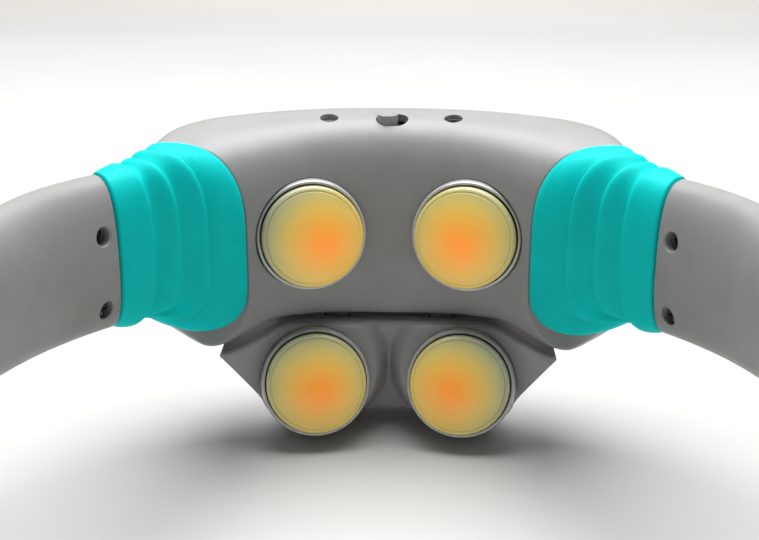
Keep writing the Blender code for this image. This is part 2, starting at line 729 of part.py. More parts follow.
def pad_face(x, z):
    """Front of the pad: it follows the casing and rises to a tilted round boss under each head."""
    side = LOWER_HEAD["x"]
    run = math.hypot(abs(x) - side, z - LOWER_HEAD["z"])
    pitch, yaw = math.radians(LOWER_HEAD["pitch"]), math.radians(LOWER_HEAD["yaw"])
    middle = LOWER_HEAD["y"] + HEAD_HEIGHT * math.cos(pitch)
    rise = z - LOWER_HEAD["z"] + HEAD_HEIGHT * math.sin(pitch)
    boss = middle + rise * math.tan(pitch) - (abs(x) - side) * math.tan(yaw)
    share = min(max((15.8 - run) / 3.4, 0), 1)
    share = share * share * (3 - 2 * share)
    plate = contour_y(x) + 0.4
    return plate + (min(boss, plate) - plate) * share


def pad_split(x, z):
    return contour_y(x) + PAD_SPLIT


def pad_back(x, z):
    return contour_y(x) + PAD_DEPTH + 3.0 * math.cos(x / PAD_TIP * math.pi / 2) - 0.004 * (z + 33) ** 2


def pad_screw_frame(side):
    x = side * PAD_SCREW["x"]
    return frame_along((x, pad_back(x, PAD_SCREW["z"]), PAD_SCREW["z"]), (0, 1, 0))


def pad_shells(model):
    """The front and back shells of the pad, hollow between them, with the seats of the lower heads."""
    columns = spread(-PAD_TIP, PAD_TIP, 37)

    def behind_split(x, z):
        return pad_split(x, z) + GAP

    front = slab(columns, 8, pad_top, pad_bottom, pad_face, pad_split)
    front = model.piece("pad_front_shell", front, "grey_plastic")
    rear = slab(columns, 4, pad_top, pad_bottom, behind_split, pad_back)
    rear = model.piece("pad_back_cover", rear, "grey_plastic")
    for side in (-1, 1):
        model.cut(front, rod(1.15, -10.1, 1, 12), pad_screw_frame(side))
        for made in (front, rear):
            model.cut(made, head_seat(), head_frame(LOWER_HEAD, side))
    for made in (front, rear):
        model.cut(made, slab(columns[5:-5], 6, *hollow_sheets()))
    return front, rear


def hollow_sheets():
    """Top, bottom, front and back of the space inside the pad."""
    return (
        lambda x: pad_top(x) - PAD_WALL,
        lambda x: pad_bottom(x) + PAD_WALL,
        lambda x, z: pad_face(x, z) + PAD_WALL,
        lambda x, z: pad_back(x, z) - PAD_WALL,
    )


def make_pad(model):
    """The lower pad, hung on a rod under the casing, with its two screws and its spring."""
    axis = Vector((0, ROD["y"], ROD["z"]))
    along = frame_along(axis, (1, 0, 0))
    empty = model.empty("lower_pad_pivot", metres(Matrix.Translation(axis)), model.root)
    back = Matrix.Translation(-axis)
    front, rear = pad_shells(model)
    for side in (-1, 1):
        low, high = axis - Vector((3.0, 3.4, 4.5)), axis + Vector((3.0, 3.4, 10.2))
        model.cut(rear, block(*(end + Vector((side * LUG_X, 0, 0)) for end in (low, high))))
        low, high = axis - Vector((2.0, 2.2, 2.6)), axis + Vector((2.0, 2.2, 0))
        high.z = pad_top(KNUCKLE_X) - 0.8
        model.join(rear, block(*(end + Vector((side * KNUCKLE_X, 0, 0)) for end in (low, high))))
    model.cut(rear, rod(ROD["r"] + 0.1, -22, 22, 14), along)
    for side, word in ((-1, "left"), (1, "right")):
        frame = pad_screw_frame(side)
        model.cut(rear, rod(2.1, -1.8, 9, 14), frame)
        model.cut(rear, rod(1.2, -20, 0, 12), frame)
        model.piece(f"pad_screw_{word}", screw(-9.9, -1.5), "steel", empty, back @ frame)
    for made in (front, rear):
        made.parent = empty
        made.matrix_local = metres(back)
    model.piece("pad_hinge_rod", rod(ROD["r"], -ROD["half"], ROD["half"], 14), "steel", turn_to=along)
    model.piece("pad_spring", coil(1.95, 0.3, -4, 4, 5, 8), "steel", turn_to=along)
    return empty, back


# ------------------------------------------------------------------ assembly


def stand_on_origin(model):
    """Puts the middle of the object's footprint, at the height of its foot, at the world origin."""
    bpy.context.view_layer.update()
    pieces = [made for made in bpy.data.objects if made.type == "MESH"]
    corners = np.array([made.matrix_world @ Vector(corner) for made in pieces for corner in made.bound_box])
    low, high = corners.min(axis=0), corners.max(axis=0)
    model.root.location = (-(low[0] + high[0]) / 2, -(low[1] + high[1]) / 2, -low[2])
    bpy.context.view_layer.update()


def main():
    for old in list(bpy.data.objects):
        bpy.data.objects.remove(old)
    model = Model()
    make_casing(model)
    make_top_pieces(model)
    make_works(model)
    for side, word in ((-1, "left"), (1, "right")):
        make_bellows(model, side, f"{word}_bellows")
        make_arm(model, side, word)
        make_hinge(model, side, word)
        make_head(model, f"upper_{word}", head_frame(UPPER_HEAD, side), model.root, Matrix.Identity(4))
    pad, back = make_pad(model)
    for side, word in ((-1, "left"), (1, "right")):
        make_head(model, f"lower_{word}", head_frame(LOWER_HEAD, side), pad, back)
    stand_on_origin(model)


main()
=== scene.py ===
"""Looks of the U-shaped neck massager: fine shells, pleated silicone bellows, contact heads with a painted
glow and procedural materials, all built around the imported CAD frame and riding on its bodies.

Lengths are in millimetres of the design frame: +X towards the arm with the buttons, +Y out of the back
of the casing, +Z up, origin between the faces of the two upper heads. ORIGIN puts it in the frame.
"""

import json
import math

import bmesh
import bpy
import numpy as np
from mathutils import Matrix, Vector


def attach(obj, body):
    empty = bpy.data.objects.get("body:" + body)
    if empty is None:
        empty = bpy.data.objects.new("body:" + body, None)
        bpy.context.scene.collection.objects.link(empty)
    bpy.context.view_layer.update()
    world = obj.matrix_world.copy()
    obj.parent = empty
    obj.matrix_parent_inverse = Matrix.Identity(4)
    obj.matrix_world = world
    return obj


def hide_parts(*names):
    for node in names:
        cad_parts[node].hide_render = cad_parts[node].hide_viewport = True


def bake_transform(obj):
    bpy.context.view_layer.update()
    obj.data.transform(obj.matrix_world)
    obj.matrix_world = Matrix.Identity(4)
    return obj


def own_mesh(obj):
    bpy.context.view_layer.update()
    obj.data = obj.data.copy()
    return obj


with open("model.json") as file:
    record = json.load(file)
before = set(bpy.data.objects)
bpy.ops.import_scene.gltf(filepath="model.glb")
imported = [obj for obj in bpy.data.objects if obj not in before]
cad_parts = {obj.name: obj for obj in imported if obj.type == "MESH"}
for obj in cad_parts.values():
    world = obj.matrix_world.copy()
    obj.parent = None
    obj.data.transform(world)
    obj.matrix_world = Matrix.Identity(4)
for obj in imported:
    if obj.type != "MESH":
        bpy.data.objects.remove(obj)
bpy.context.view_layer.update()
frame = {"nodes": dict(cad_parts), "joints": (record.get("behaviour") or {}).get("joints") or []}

MM = 0.001
SIDES = ((-1, "left"), (1, "right"))
GAP = 0.3  # between neighbouring shells

# ------------------------------ dimensions

# Neck-side contour of the U, right half, from the middle of the back to the arm's tip.
CONTOUR = [
    (0, 9.6), (15.5, 7.2), (30, -1.0), (41.8, -10.4), (51.5, -21.8),
    (58.4, -38), (62.4, -60), (63, -80), (58.6, -100), (51.2, -115),
]
# Section of the U against distance along the contour: thickness, top and bottom.
THICKNESS = [
    (0, 21.6), (12, 22.6), (21.5, 24.4), (30, 26.6), (36, 26.8), (40, 25.2), (44, 21.4), (48, 16.8),
    (53, 13.4), (61, 12.9), (85, 13), (125, 12), (160, 10),
]
TOP = [
    (0, 21.6), (30, 21.0), (42, 19.7), (50, 18.2), (56, 17.7), (61, 18), (85, 19.6), (120, 19.4), (160, 16),
]
BOTTOM = [
    (0, -22.8), (18, -22.1), (26, -21.9), (33, -24.1), (38, -25.4), (41.5, -24.8), (45, -21.6),
    (49, -17.2), (54, -14.4),
]
SLEEVE_BOTTOM = [
    (30, -21.6), (38, -21.8), (44, -20.2), (50, -16.8), (54, -14.2), (57, -13.3), (61, -13.6),
    (71, -12.5), (80, -11.2), (100, -7.9), (125, -3.5), (160, 1),
]
TOP_SLOPE = [(0, 0.19), (36, 0.17), (48, 0.06), (61, 0.0), (160, 0.0)]
# Superellipse exponents of the four corners: front top, back top, back bottom, front bottom.
CORNERS = [
    (0, 2.8, 4.0, 3.4, 8.0), (34, 3.1, 3.6, 3.2, 7.0), (44, 3.6, 3.0, 3.0, 5.0), (61, 2.8, 2.3, 2.3, 2.8),
    (160, 2.3, 2.2, 2.2, 2.3),
]
# Where the grey and white shells meet, as a share of the half thickness behind the middle.
PARTING = [(0, 0.62), (42, 0.60), (61, 0.42), (160, 0.36)]
# The slanting rims of the bellows: distance along the contour, change to the back, bulge, and how
# far the casing's chin reaches out under the bellows.
LARGE_RIM = (39.5, 6.5, 3.6, 11.0)
SMALL_RIM = (61.7, -1.7, 0.0, 0.0)
ARM_TIP = 158.0
BODY_END = 1.22  # the casing goes this far under the bellows, which runs from 1 to 2
ARM_START = 1.86
CUFF_STEP = 1.25  # the shells are set back under the bellows' cuffs
ROUND_END = 2.8  # from here the arm closes in a round end

WALL = 1.6
RING_R = 12.35
HEAD_HEIGHT = 7.2
UPPER_HEAD = dict(x=15.6, y=-0.3, z=-0.9, yaw=14.5, pitch=7.0)
LOWER_HEAD = dict(x=15.4, y=-4.4, z=-33.4, yaw=9.0, pitch=16.0)

LOBE_Z = -36.2
LOBE_R = 13.4
FOOT_Z = -49.4
PAD_MIDDLE_Z = -46.3
PAD_TOP_GAP = 1.0
PAD_TIP = 36.6
PAD_KNEE = (28.0, -40.2)
PAD_SPLIT = 3.2
PAD_DEPTH = 11.5
PAD_EDGE = 1.3  # radius of the pad's edges
PAD_WALL = 1.7
ROD = dict(y=15.2, z=-28.2, r=1.2)
LUG_X = 12.0
KNUCKLE_X = 18.5

ARM_SCREWS_AT = 67.6
ARM_SCREWS_Z = {"upper": 8.0, "lower": -7.3}
COVER_SCREW_Q = 0.78
PAD_SCREW = dict(x=31.4, z=-28.5)
ARM_SCREW_HOLE_R = 1.9
COVER_SCREW_HOLE_R = 2.1
BUTTONS_Q = {"plus": 2.38, "mode": 2.465, "minus": 2.55}
BUTTON_HOLE_R = 2.9
TOP_FEATURES_Y = 18.6
TOP_HOLE_R = 2.0
SLOT = dict(x=0.4, length=7.2, width=5.0)
KNOB = dict(x=-0.6, r=2.3)
SOCKET_X = 14.0
LENS_X = -13.6


def joint_place(name):
    return Vector(next(j["pos_m"] for j in frame["joints"] if j["name"] == name))


ORIGIN = joint_place("lower_pad_tilt") - Vector((0, ROD["y"], ROD["z"])) * MM
DESIGN = Matrix.Translation(ORIGIN)

# ------------------------------ smooth curves


def smooth(keys, at):
    """Values of a smooth curve through keys of (position, value), read at an array of positions."""
    place, value = np.array(keys, float).T
    slope = np.zeros_like(value)
    slope[1:-1] = (value[2:] - value[:-2]) / (place[2:] - place[:-2])
    slope[-1] = (value[-1] - value[-2]) / (place[-1] - place[-2])
    at = np.clip(at, place[0], place[-1])
    i = np.clip(np.searchsorted(place, at, "right") - 1, 0, len(place) - 2)
    width = place[i + 1] - place[i]
    u = (at - place[i]) / width
    return (
        (1 + 2 * u) * (1 - u) ** 2 * value[i]
        + u * (1 - u) ** 2 * width * slope[i]
        + u * u * (3 - 2 * u) * value[i + 1]
        + u * u * (u - 1) * width * slope[i + 1]
    )


def measure_contour():
    """Points of the contour with their distance from the middle of the back."""
    corners = np.array(CONTOUR, float)
    place = np.r_[0, np.cumsum(np.hypot(*np.diff(corners, axis=0).T))]
    place = np.r_[-place[1], place]
    corners = np.vstack([corners[1] * (-1, 1), corners])  # straight across at the middle
    at = np.linspace(0, place[-1], 600)
    points = np.column_stack([smooth(np.column_stack([place, corners[:, k]]), at) for k in (0, 1)])
    return np.r_[0, np.cumsum(np.hypot(*np.diff(points, axis=0).T))], points


DISTANCE, POINTS = measure_contour()
BODY_PART = DISTANCE < 62  # the stretch behind the casing and the pad


def contour(s):
    """Points of the contour at distances s and the directions out of the U there, right half."""
    def read(at):
        return np.stack([np.interp(at, DISTANCE, POINTS[:, k]) for k in (0, 1)], -1)

    along = read(np.minimum(s + 1, DISTANCE[-1])) - read(np.maximum(s - 1, 0))
    along /= np.linalg.norm(along, axis=-1, keepdims=True)
    share = np.clip(s, 0, 1)[..., None]
    along = np.array([1.0, 0.0]) * (1 - share) + along * share
    along /= np.linalg.norm(along, axis=-1, keepdims=True)
    return read(s), np.stack([-along[..., 1], along[..., 0]], -1)


def contour_y(x):
    return np.interp(np.abs(x), POINTS[BODY_PART, 0], POINTS[BODY_PART, 1])


def distance_at(q, share, up=0.0):
    """Distance at zone coordinate q: 0 middle, 1 large rim, 2 small rim, 3 tip. share runs from -1
    on the neck side to 1 on the outer side, because the rims slant; up is 1 on top, -1 at the bottom."""
    low = np.maximum(-up, 0) ** 9
    large, small = (
        middle + change * share + bulge * (1 - share**2) + chin * low * (1 - share) / 2
        for middle, change, bulge, chin in (LARGE_RIM, SMALL_RIM)
    )
    first, second, third = (np.clip(q - k, 0, 1) for k in (0, 1, 2))
    return first * large + second * (small - large) + third * (ARM_TIP - small)


def power(value, exponent):
    return np.sign(value) * np.abs(value) ** exponent


def surface(q, turn, offset=0.0, inset=0.0):
    """Points of the U's outer surface, in an array of the shape that q, turn and offset broadcast to.
    q is the zone coordinate, negative on the left half; turn goes round the section: 0 neck side,
    0.25 top, 0.5 outer side, 0.75 bottom. offset is outwards; inset shrinks the section."""
    q, turn, offset, inset = np.broadcast_arrays(q, turn, offset, inset)
    zone = np.abs(q)
    c, s = np.cos(2 * np.pi * turn), np.sin(2 * np.pi * turn)
    corner = np.where(c >= 0, np.where(s >= 0, 1, 4), np.where(s >= 0, 2, 3))
    at = distance_at(zone, -c)
    keys = np.array(CORNERS)
    p = np.choose(corner - 1, [smooth(keys[:, [0, k]], at) for k in (1, 2, 3, 4)])
    across, up = power(-c, 2 / p), power(s, 2 / p)
    at = distance_at(zone, across, up)
    half, top = smooth(THICKNESS, at) / 2, smooth(TOP, at)
    bottom = np.where(zone < 0.99, smooth(BOTTOM, at), smooth(SLEEVE_BOTTOM, at))
    end = np.sqrt(1 - np.clip((zone - ROUND_END) / (3 - ROUND_END), 0, 1) ** 2)
    high, centre = (top - bottom) / 2 * end, (top + bottom) / 2
    shrink = half * (1 - end)
    half = half * end
    inner = np.maximum(half - inset, 0.2 * half)
    shrink = shrink + half - inner
    half, high = inner, np.maximum(high - inset, 0.2 * high)
    slope_a = power(across, p - 1) / np.maximum(half, 0.01)
    slope_b = power(up, p - 1) / np.maximum(high, 0.01)
    size = np.hypot(slope_a, slope_b)
    n = shrink + half * (1 + across) + offset * slope_a / size
    slant = smooth(TOP_SLOPE, at) * half * across * np.maximum(up, 0)
    z = centre + high * up + slant + offset * slope_b / size
    here, out = contour(at)
    x, y = np.moveaxis(here + out * n[..., None], -1, 0)
    return np.stack([np.where(q < 0, -x, x), y, z], -1)


CORNER_EASE = 2.4


def eased(turn):
    """Turns that crowd less in the corners of a boxy section."""
    quarter, v = np.divmod(np.asarray(turn, float) * 4, 1)
    return (quarter + v**CORNER_EASE / (v**CORNER_EASE + (1 - v) ** CORNER_EASE)) / 4


def uneased(turn):
    quarter, w = np.divmod(np.asarray(turn, float) * 4, 1)
    w = w ** (1 / CORNER_EASE), (1 - w) ** (1 / CORNER_EASE)
    return (quarter + w[0] / (w[0] + w[1])) / 4


def parting_turns(q):
    """The turns, on the top and on the bottom, where the two shells meet."""
    at = distance_at(np.abs(q), 0.6)
    share = smooth(PARTING, at)
    keys = np.array(CORNERS)
    back_top, back_bottom = smooth(keys[:, [0, 2]], at), smooth(keys[:, [0, 3]], at)
    top = 0.5 - np.arccos(share ** (back_top / 2)) / (2 * np.pi)
    bottom = 0.5 + np.arccos(share ** (back_bottom / 2)) / (2 * np.pi)
    return top, bottom


# ------------------------------ mesh tools


def quads(rows, columns, wrap_rows=False, wrap_columns=False):
    """Faces of a grid of points numbered row by row."""
    i = np.arange(rows if wrap_rows else rows - 1)[:, None]
    j = np.arange(columns if wrap_columns else columns - 1)[None, :]
    below, right = (i + 1) % rows, (j + 1) % columns
    corners = [i * columns + j, i * columns + right, below * columns + right, below * columns + j]
    return np.stack(np.broadcast_arrays(*corners), -1).reshape(-1, 4)


def tube(rings, wrap=False):
    """A skin over rings of points, its ends capped unless it closes on itself."""
    rings = np.asarray(rings, float)
    rows, columns = rings.shape[:2]
    faces = quads(rows, columns, wrap, True).tolist()
    if not wrap:
        faces += [list(range(columns))[::-1], [(rows - 1) * columns + k for k in range(columns)]]
    return rings.reshape(-1, 3), faces


def thick_sheet(outer, inner):
    """A closed shell between two grids of points of the same size."""
    rows, columns = outer.shape[:2]
    count = rows * columns
    faces = quads(rows, columns).tolist()
    faces += [[count + k for k in reversed(f)] for f in quads(rows, columns).tolist()]
    left = [r * columns for r in range(rows)]
    right = [r * columns + columns - 1 for r in range(rows)]
    first, last = list(range(columns)), [(rows - 1) * columns + k for k in range(columns)]
    for border in (left, right, first, last):
        faces += [[a, b, b + count, a + count] for a, b in zip(border, border[1:])]
    return np.vstack([outer.reshape(-1, 3), inner.reshape(-1, 3)]), faces


def turned(profile, segments=96):
    """A solid of revolution about Z from an outline of (radius, height) points."""
    profile = np.array(profile, float)
    closed = profile[0][0] > 0 or profile[-1][0] > 0
    angle = np.linspace(0, 2 * np.pi, segments, endpoint=False)[:, None]
    r, z = profile[:, 0][None, :], profile[:, 1][None, :]
    points = np.stack(np.broadcast_arrays(r * np.cos(angle), r * np.sin(angle), z), -1)
    return points.reshape(-1, 3), quads(segments, len(profile), True, closed).tolist()


def rounded(corners, steps=4):
    """An outline of (x, y, radius) corners with its corners rounded; a radius of 0 stays sharp."""
    made, count = [], len(corners)
    for i, (x, y, r) in enumerate(corners):
        here = np.array([x, y], float)
        if r == 0:
            made.append(here)
            continue
        back = np.array(corners[i - 1][:2], float) - here
        on = np.array(corners[(i + 1) % count][:2], float) - here
        reach = min(r, np.linalg.norm(back) / 2, np.linalg.norm(on) / 2)
        a, b = here + back / np.linalg.norm(back) * reach, here + on / np.linalg.norm(on) * reach
        for k in range(steps + 1):
            t = k / steps
            made.append(a * (1 - t) ** 2 + here * 2 * t * (1 - t) + b * t * t)
    return made


def block(low, high):
    bottom = [(low[0], low[1]), (high[0], low[1]), (high[0], high[1]), (low[0], high[1])]
    return tube([[(x, y, z) for x, y in bottom] for z in (low[2], high[2])])


def prism(outline, low, high):
    return tube([[(x, y, z) for x, y in outline] for z in (low, high)])


def cylinder(radius, low, high, segments=48):
    return turned([(0, low), (radius, low), (radius, high), (0, high)], segments)


def coil(radius, wire, low, high, turns, per_turn=40, sides=10, closed_share=0.12):
    """A spring about Z with its end turns closed up."""
    count = int(turns * per_turn)
    t = np.linspace(0, 1, count)
    rise = np.clip((t - closed_share) / (1 - 2 * closed_share), 0, 1)
    height = low + (high - low) * (0.1 * t + 0.9 * rise)
    angle = 2 * np.pi * turns * t
    out = np.stack([np.cos(angle), np.sin(angle), 0 * angle], -1)
    centre = out * radius + np.stack([0 * t, 0 * t, height], -1)
    round_wire = np.linspace(0, 2 * np.pi, sides, endpoint=False)[None, :, None]
    up = np.array([0, 0, 1.0])
    return tube(centre[:, None] + wire * (out[:, None] * np.cos(round_wire) + up * np.sin(round_wire)))


def stadium(length, width, arc=24):
    r, half = width / 2, (length - width) / 2
    angle = np.linspace(-np.pi / 2, np.pi / 2, arc)
    right = np.column_stack([half + r * np.cos(angle), r * np.sin(angle)])
    return np.vstack([right, -right])


def moved(part, matrix):
    """A part turned and moved by a matrix in millimetres."""
    points, faces = part
    m = np.array(matrix)
    return points @ m[:3, :3].T + m[:3, 3], faces


def placed(matrix):
    """Place in the row frame of a frame given in millimetres of the design frame."""
    scaled = matrix.copy()
    scaled.translation = matrix.translation * MM
    return DESIGN @ scaled


def make_object(name, parts, smooth_angle=35.0):
    """An object from parts of (points, faces) in millimetres, in its own frame."""
    bm = bmesh.new()
    for points, faces in parts:
        corners = [bm.verts.new(p * MM) for p in np.asarray(points, float)]
        for face in faces:
            bm.faces.new([corners[k] for k in face])
    bmesh.ops.remove_doubles(bm, verts=bm.verts, dist=1e-7)
    bmesh.ops.dissolve_degenerate(bm, edges=bm.edges, dist=1e-7)
    bmesh.ops.recalc_face_normals(bm, faces=bm.faces)
    mesh = bpy.data.meshes.new(name)
    bm.to_mesh(mesh)
    bm.free()
    shade(mesh, smooth_angle)
    made = bpy.data.objects.new(name, mesh)
    bpy.context.scene.collection.objects.link(made)
    return made


def shade(mesh, smooth_angle=35.0):
    mesh.shade_smooth()
    mesh.set_sharp_from_angle(angle=math.radians(smooth_angle))


def combine(target, parts, operation="DIFFERENCE"):
    """Cuts parts out of an object, or joins them to it, one after another."""
    for part in parts:
        tool = make_object("tool", [part])
        tool.matrix_world = target.matrix_world
        modifier = target.modifiers.new("cut", "BOOLEAN")
        modifier.object = tool
        modifier.operation = operation
        modifier.solver = "EXACT"
        bpy.context.view_layer.update()
        graph = bpy.context.evaluated_depsgraph_get()
        mesh = bpy.data.meshes.new_from_object(target.evaluated_get(graph), depsgraph=graph)
        target.modifiers.clear()
        target.data = mesh
        bpy.data.objects.remove(tool)
    shade(target.data)


def settle(made, material, body, slot, *nodes):
    """Gives a piece its material and body and hides any CAD nodes that it stands for; the record slot is not
    used.
    """
    made.data.materials.clear()
    made.data.materials.append(material)
    if body:
        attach(made, body)
    if nodes:
        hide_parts(*nodes)


def frame_along(origin, axis):
    """A frame with its Z along axis."""
    made = Vector(axis).to_track_quat("Z", "Y").to_matrix().to_4x4()
    made.translation = Vector(origin)
    return made


def head_frame(place, side):
    """Frame of a head: origin where its axis meets the face that it stands on, Z out of the face."""
    yaw, pitch = math.radians(place["yaw"]), math.radians(place["pitch"])
    level = math.cos(pitch)
    axis = Vector((-side * math.sin(yaw) * level, -math.cos(yaw) * level, math.sin(pitch)))
    apex = Vector((side * place["x"], place["y"], place["z"]))
    return frame_along(apex - axis * HEAD_HEIGHT, axis)


def surface_frame(q, turn):
    """A frame on the U's surface, level, with its Z pointing out of it."""
    here = surface(q, turn)
    at = distance_at(abs(q), -math.cos(2 * math.pi * turn))
    _, out = contour(np.asarray(at))
    direction = Vector((math.copysign(out[0], q), out[1], 0)) * -math.cos(2 * math.pi * turn)
    return frame_along(here, direction)


def face_frame(made, origin, direction):
    """The frame where a ray in the design frame first meets a piece, with Z along the face's normal."""
    hit, place, normal, _ = made.ray_cast(Vector(origin) * MM, Vector(direction).normalized())
    if not hit:
        raise ValueError(f"no face of {made.name} at {origin}")
    return frame_along(place / MM, normal)


def countersink(radius, chamfer):
    """A cutter that breaks the edge of a round hole, with its Z out of the face."""
    wide = radius + chamfer * 1.2
    return turned([(0, -chamfer), (radius, -chamfer), (wide, 0.05), (wide, 2), (0, 2)], 64)


# ------------------------------ materials


class Finish:
    """A Principled material with a few helpers for procedural detail, in the object's own metres."""

    def __init__(self, name, **settings):
        self.material = bpy.data.materials.new(name)
        self.material.use_nodes = True
        self.tree = self.material.node_tree
        self.shader = self.tree.nodes["Principled BSDF"]
        for key, value in settings.items():
            self.shader.inputs[key.replace("_", " ")].default_value = value
        self.coordinates = self.tree.nodes.new("ShaderNodeTexCoord").outputs["Object"]

    def node(self, kind, inputs=None, **attributes):
        made = self.tree.nodes.new(kind)
        for key, value in attributes.items():
            setattr(made, key, value)
        for key, value in (inputs or {}).items():
            if isinstance(value, bpy.types.NodeSocket):
                self.tree.links.new(value, made.inputs[key])
            else:
                made.inputs[key].default_value = value
        return made

    def noise(self, size, detail=3.0, roughness=0.5, vector=None):
        """Noise with features of about that size in millimetres."""
        inputs = {"Vector": vector or self.coordinates, "Scale": 1 / (size * MM)}
        inputs |= {"Detail": detail, "Roughness": roughness}
        return self.node("ShaderNodeTexNoise", inputs).outputs["Fac"]

    def stretched(self, x, y, z):
        """The object's coordinates, scaled."""
        inputs = {"Vector": self.coordinates, "Scale": (x, y, z)}
        return self.node("ShaderNodeMapping", inputs).outputs["Vector"]

    def ramp(self, value, stops, interpolation="LINEAR"):
        made = self.node("ShaderNodeValToRGB", {"Fac": value})
        made.color_ramp.interpolation = interpolation
        while len(made.color_ramp.elements) < len(stops):
            made.color_ramp.elements.new(0.5)
        for element, (place, colour) in zip(made.color_ramp.elements, stops):
            element.position = place
            element.color = (*colour, 1.0) if len(colour) == 3 else colour
        return made.outputs["Color"]

    def between(self, value, low, high):
        inputs = {"Value": value, "To Min": low, "To Max": high}
        return self.node("ShaderNodeMapRange", inputs).outputs["Result"]

    def math(self, operation, a, b=0.0):
        return self.node("ShaderNodeMath", {0: a, 1: b}, operation=operation).outputs[0]

    def mix(self, share, a, b):
        made = self.node("ShaderNodeMix", data_type="RGBA", blend_type="MIX")
        for socket, value in ((made.inputs[0], share), (made.inputs[6], a), (made.inputs[7], b)):
            if isinstance(value, bpy.types.NodeSocket):
                self.tree.links.new(value, socket)
            else:
                socket.default_value = (*value, 1.0) if isinstance(value, tuple) else value
        return made.outputs[2]

    def set(self, name, value):
        self.tree.links.new(value, self.shader.inputs[name])

    def bump(self, height, depth, strength=1.0):
        """Bump of that depth in millimetres."""
        inputs = {"Height": height, "Distance": depth * MM, "Strength": strength}
        if self.shader.inputs["Normal"].is_linked:
            inputs["Normal"] = self.shader.inputs["Normal"].links[0].from_socket
        made = self.node("ShaderNodeBump", inputs)
        self.tree.links.new(made.outputs["Normal"], self.shader.inputs["Normal"])


def shades(colour, share):
    """A darker and a lighter version of a colour."""
    return tuple(c * (1 - share) for c in colour), tuple(min(c * (1 + share), 1) for c in colour)


def moulded(name, colour, roughness, grain=0.16, depth=0.012, variation=0.05, **more):
    """Moulded plastic: a fine spark-eroded grain, faint flow clouds and handling marks in the gloss."""
    made = Finish(name, Roughness=roughness, **more)
    dark, light = shades(colour, variation)
    cloud = made.noise(9.0, 4.0, 0.55)
    made.set("Base Color", made.ramp(cloud, [(0.3, dark), (0.7, light)]))
    wear = made.noise(2.2, 5.0, 0.6)
    made.set("Roughness", made.between(wear, roughness - 0.07, roughness + 0.08))
    made.bump(made.noise(grain, 2.0, 0.5), depth, 0.6)
    return made.material


def silicone(name, colour):
    """Moulded silicone: soft, slightly translucent, with a satin skin and a trace of dust."""
    skin = dict(Roughness=0.6, Subsurface_Weight=0.1, Subsurface_Scale=0.003, Specular_IOR_Level=0.12)
    made = Finish(name, **skin)
    made.shader.inputs["Subsurface Radius"].default_value = (0.05, 1.0, 0.9)
    dark, light = shades(colour, 0.045)
    clouds = made.ramp(made.noise(6.0, 4.0, 0.6), [(0.3, dark), (0.7, light)])
    dust = made.ramp(made.noise(0.5, 6.0, 0.75), [(0.62, (0, 0, 0)), (0.8, (1, 1, 1))])
    share = made.math("MULTIPLY", dust, 0.05)
    made.set("Base Color", made.mix(share, clouds, (0.1, 0.62, 0.6)))
    made.set("Roughness", made.between(made.noise(1.4, 5.0, 0.6), 0.5, 0.68))
    made.bump(made.noise(0.22, 3.0, 0.6), 0.012, 0.5)
    return made.material


def lathe_metal(name, colour, roughness, metallic=1.0, ring=0.25):
    """Turned metal: fine rings about the object's own Z, broken up by noise."""
    made = Finish(name, Metallic=metallic, Roughness=roughness)
    dark, light = shades(colour, 0.1)
    made.set("Base Color", made.ramp(made.noise(1.6, 4.0), [(0.3, dark), (0.7, light)]))
    inputs = {"Vector": made.coordinates, "Scale": 1 / (ring * MM * 6), "Distortion": 1.2, "Detail": 3.0}
    rings = made.node("ShaderNodeTexWave", inputs, wave_type="RINGS", rings_direction="Z").outputs["Fac"]
    made.set("Roughness", made.between(rings, roughness - 0.06, roughness + 0.1))
    made.bump(rings, 0.006, 0.5)
    return made.material


def brushed_metal(name, colour, roughness):
    """Drawn or rolled steel with fine scratches along its Z and a few spots of tarnish."""
    made = Finish(name, Metallic=1.0, Roughness=roughness)
    lines = made.noise(0.5, 4.0, 0.6, made.stretched(9, 9, 0.4))
    dark, light = shades(colour, 0.14)
    made.set("Base Color", made.ramp(made.noise(1.2, 5.0, 0.65), [(0.35, dark), (0.65, light)]))
    made.set("Roughness", made.between(lines, roughness - 0.08, roughness + 0.12))
    made.bump(lines, 0.006, 0.6)
    return made.material


# Colours of a plate's painted glow, from the hot spot, at 0, to the rim, at 1.
PAINTED_EMISSION_RAMP = [
    (0.0, (0.93, 0.27, 0.025)), (0.16, (0.90, 0.30, 0.03)), (0.30, (0.87, 0.37, 0.045)),
    (0.46, (0.82, 0.44, 0.07)), (0.62, (0.74, 0.50, 0.11)), (0.78, (0.62, 0.51, 0.17)),
    (0.92, (0.48, 0.46, 0.24)), (1.0, (0.38, 0.38, 0.26)),
]


# Strength of the painted glow at a plate's rim.
PAINTED_RIM_EMISSION = 0.12


def painted_emission_plate(name, spot, tint, strength, reach=13.5):
    """A frosted contact plate with a painted glow: emission in its own colour, strongest at a spot and
    fading to the rim, with no lamp behind it.
    """
    made = Finish(name, Roughness=0.3, Coat_Weight=0.3, Coat_Roughness=0.16)
    shift = {0: made.coordinates, 1: (-spot[0] * MM, -spot[1] * MM, 0)}
    place = made.node("ShaderNodeVectorMath", shift, operation="ADD").outputs[0]
    level = {0: place, 1: (1, 1, 0)}
    flat = made.node("ShaderNodeVectorMath", level, operation="MULTIPLY").outputs[0]
    length = made.node("ShaderNodeVectorMath", {0: flat}, operation="LENGTH").outputs["Value"]
    run = made.math("DIVIDE", length, reach * MM)
    cloud = made.between(made.noise(3.0, 3.0), -0.03, 0.03)
    run = made.math("ADD", run, cloud)
    stops = [(at, tuple(c * share for c, share in zip(shade_there, tint))) for at, shade_there in PAINTED_EMISSION_RAMP]
    colour = made.ramp(run, stops, "EASE")
    made.set("Base Color", colour)
    made.set("Emission Color", colour)
    made.set("Emission Strength", made.between(run, strength, PAINTED_RIM_EMISSION))
    made.set("Roughness", made.between(made.noise(0.8, 4.0, 0.6), 0.24, 0.38))
    made.bump(made.noise(0.12, 2.0), 0.006, 0.4)
    return made.material


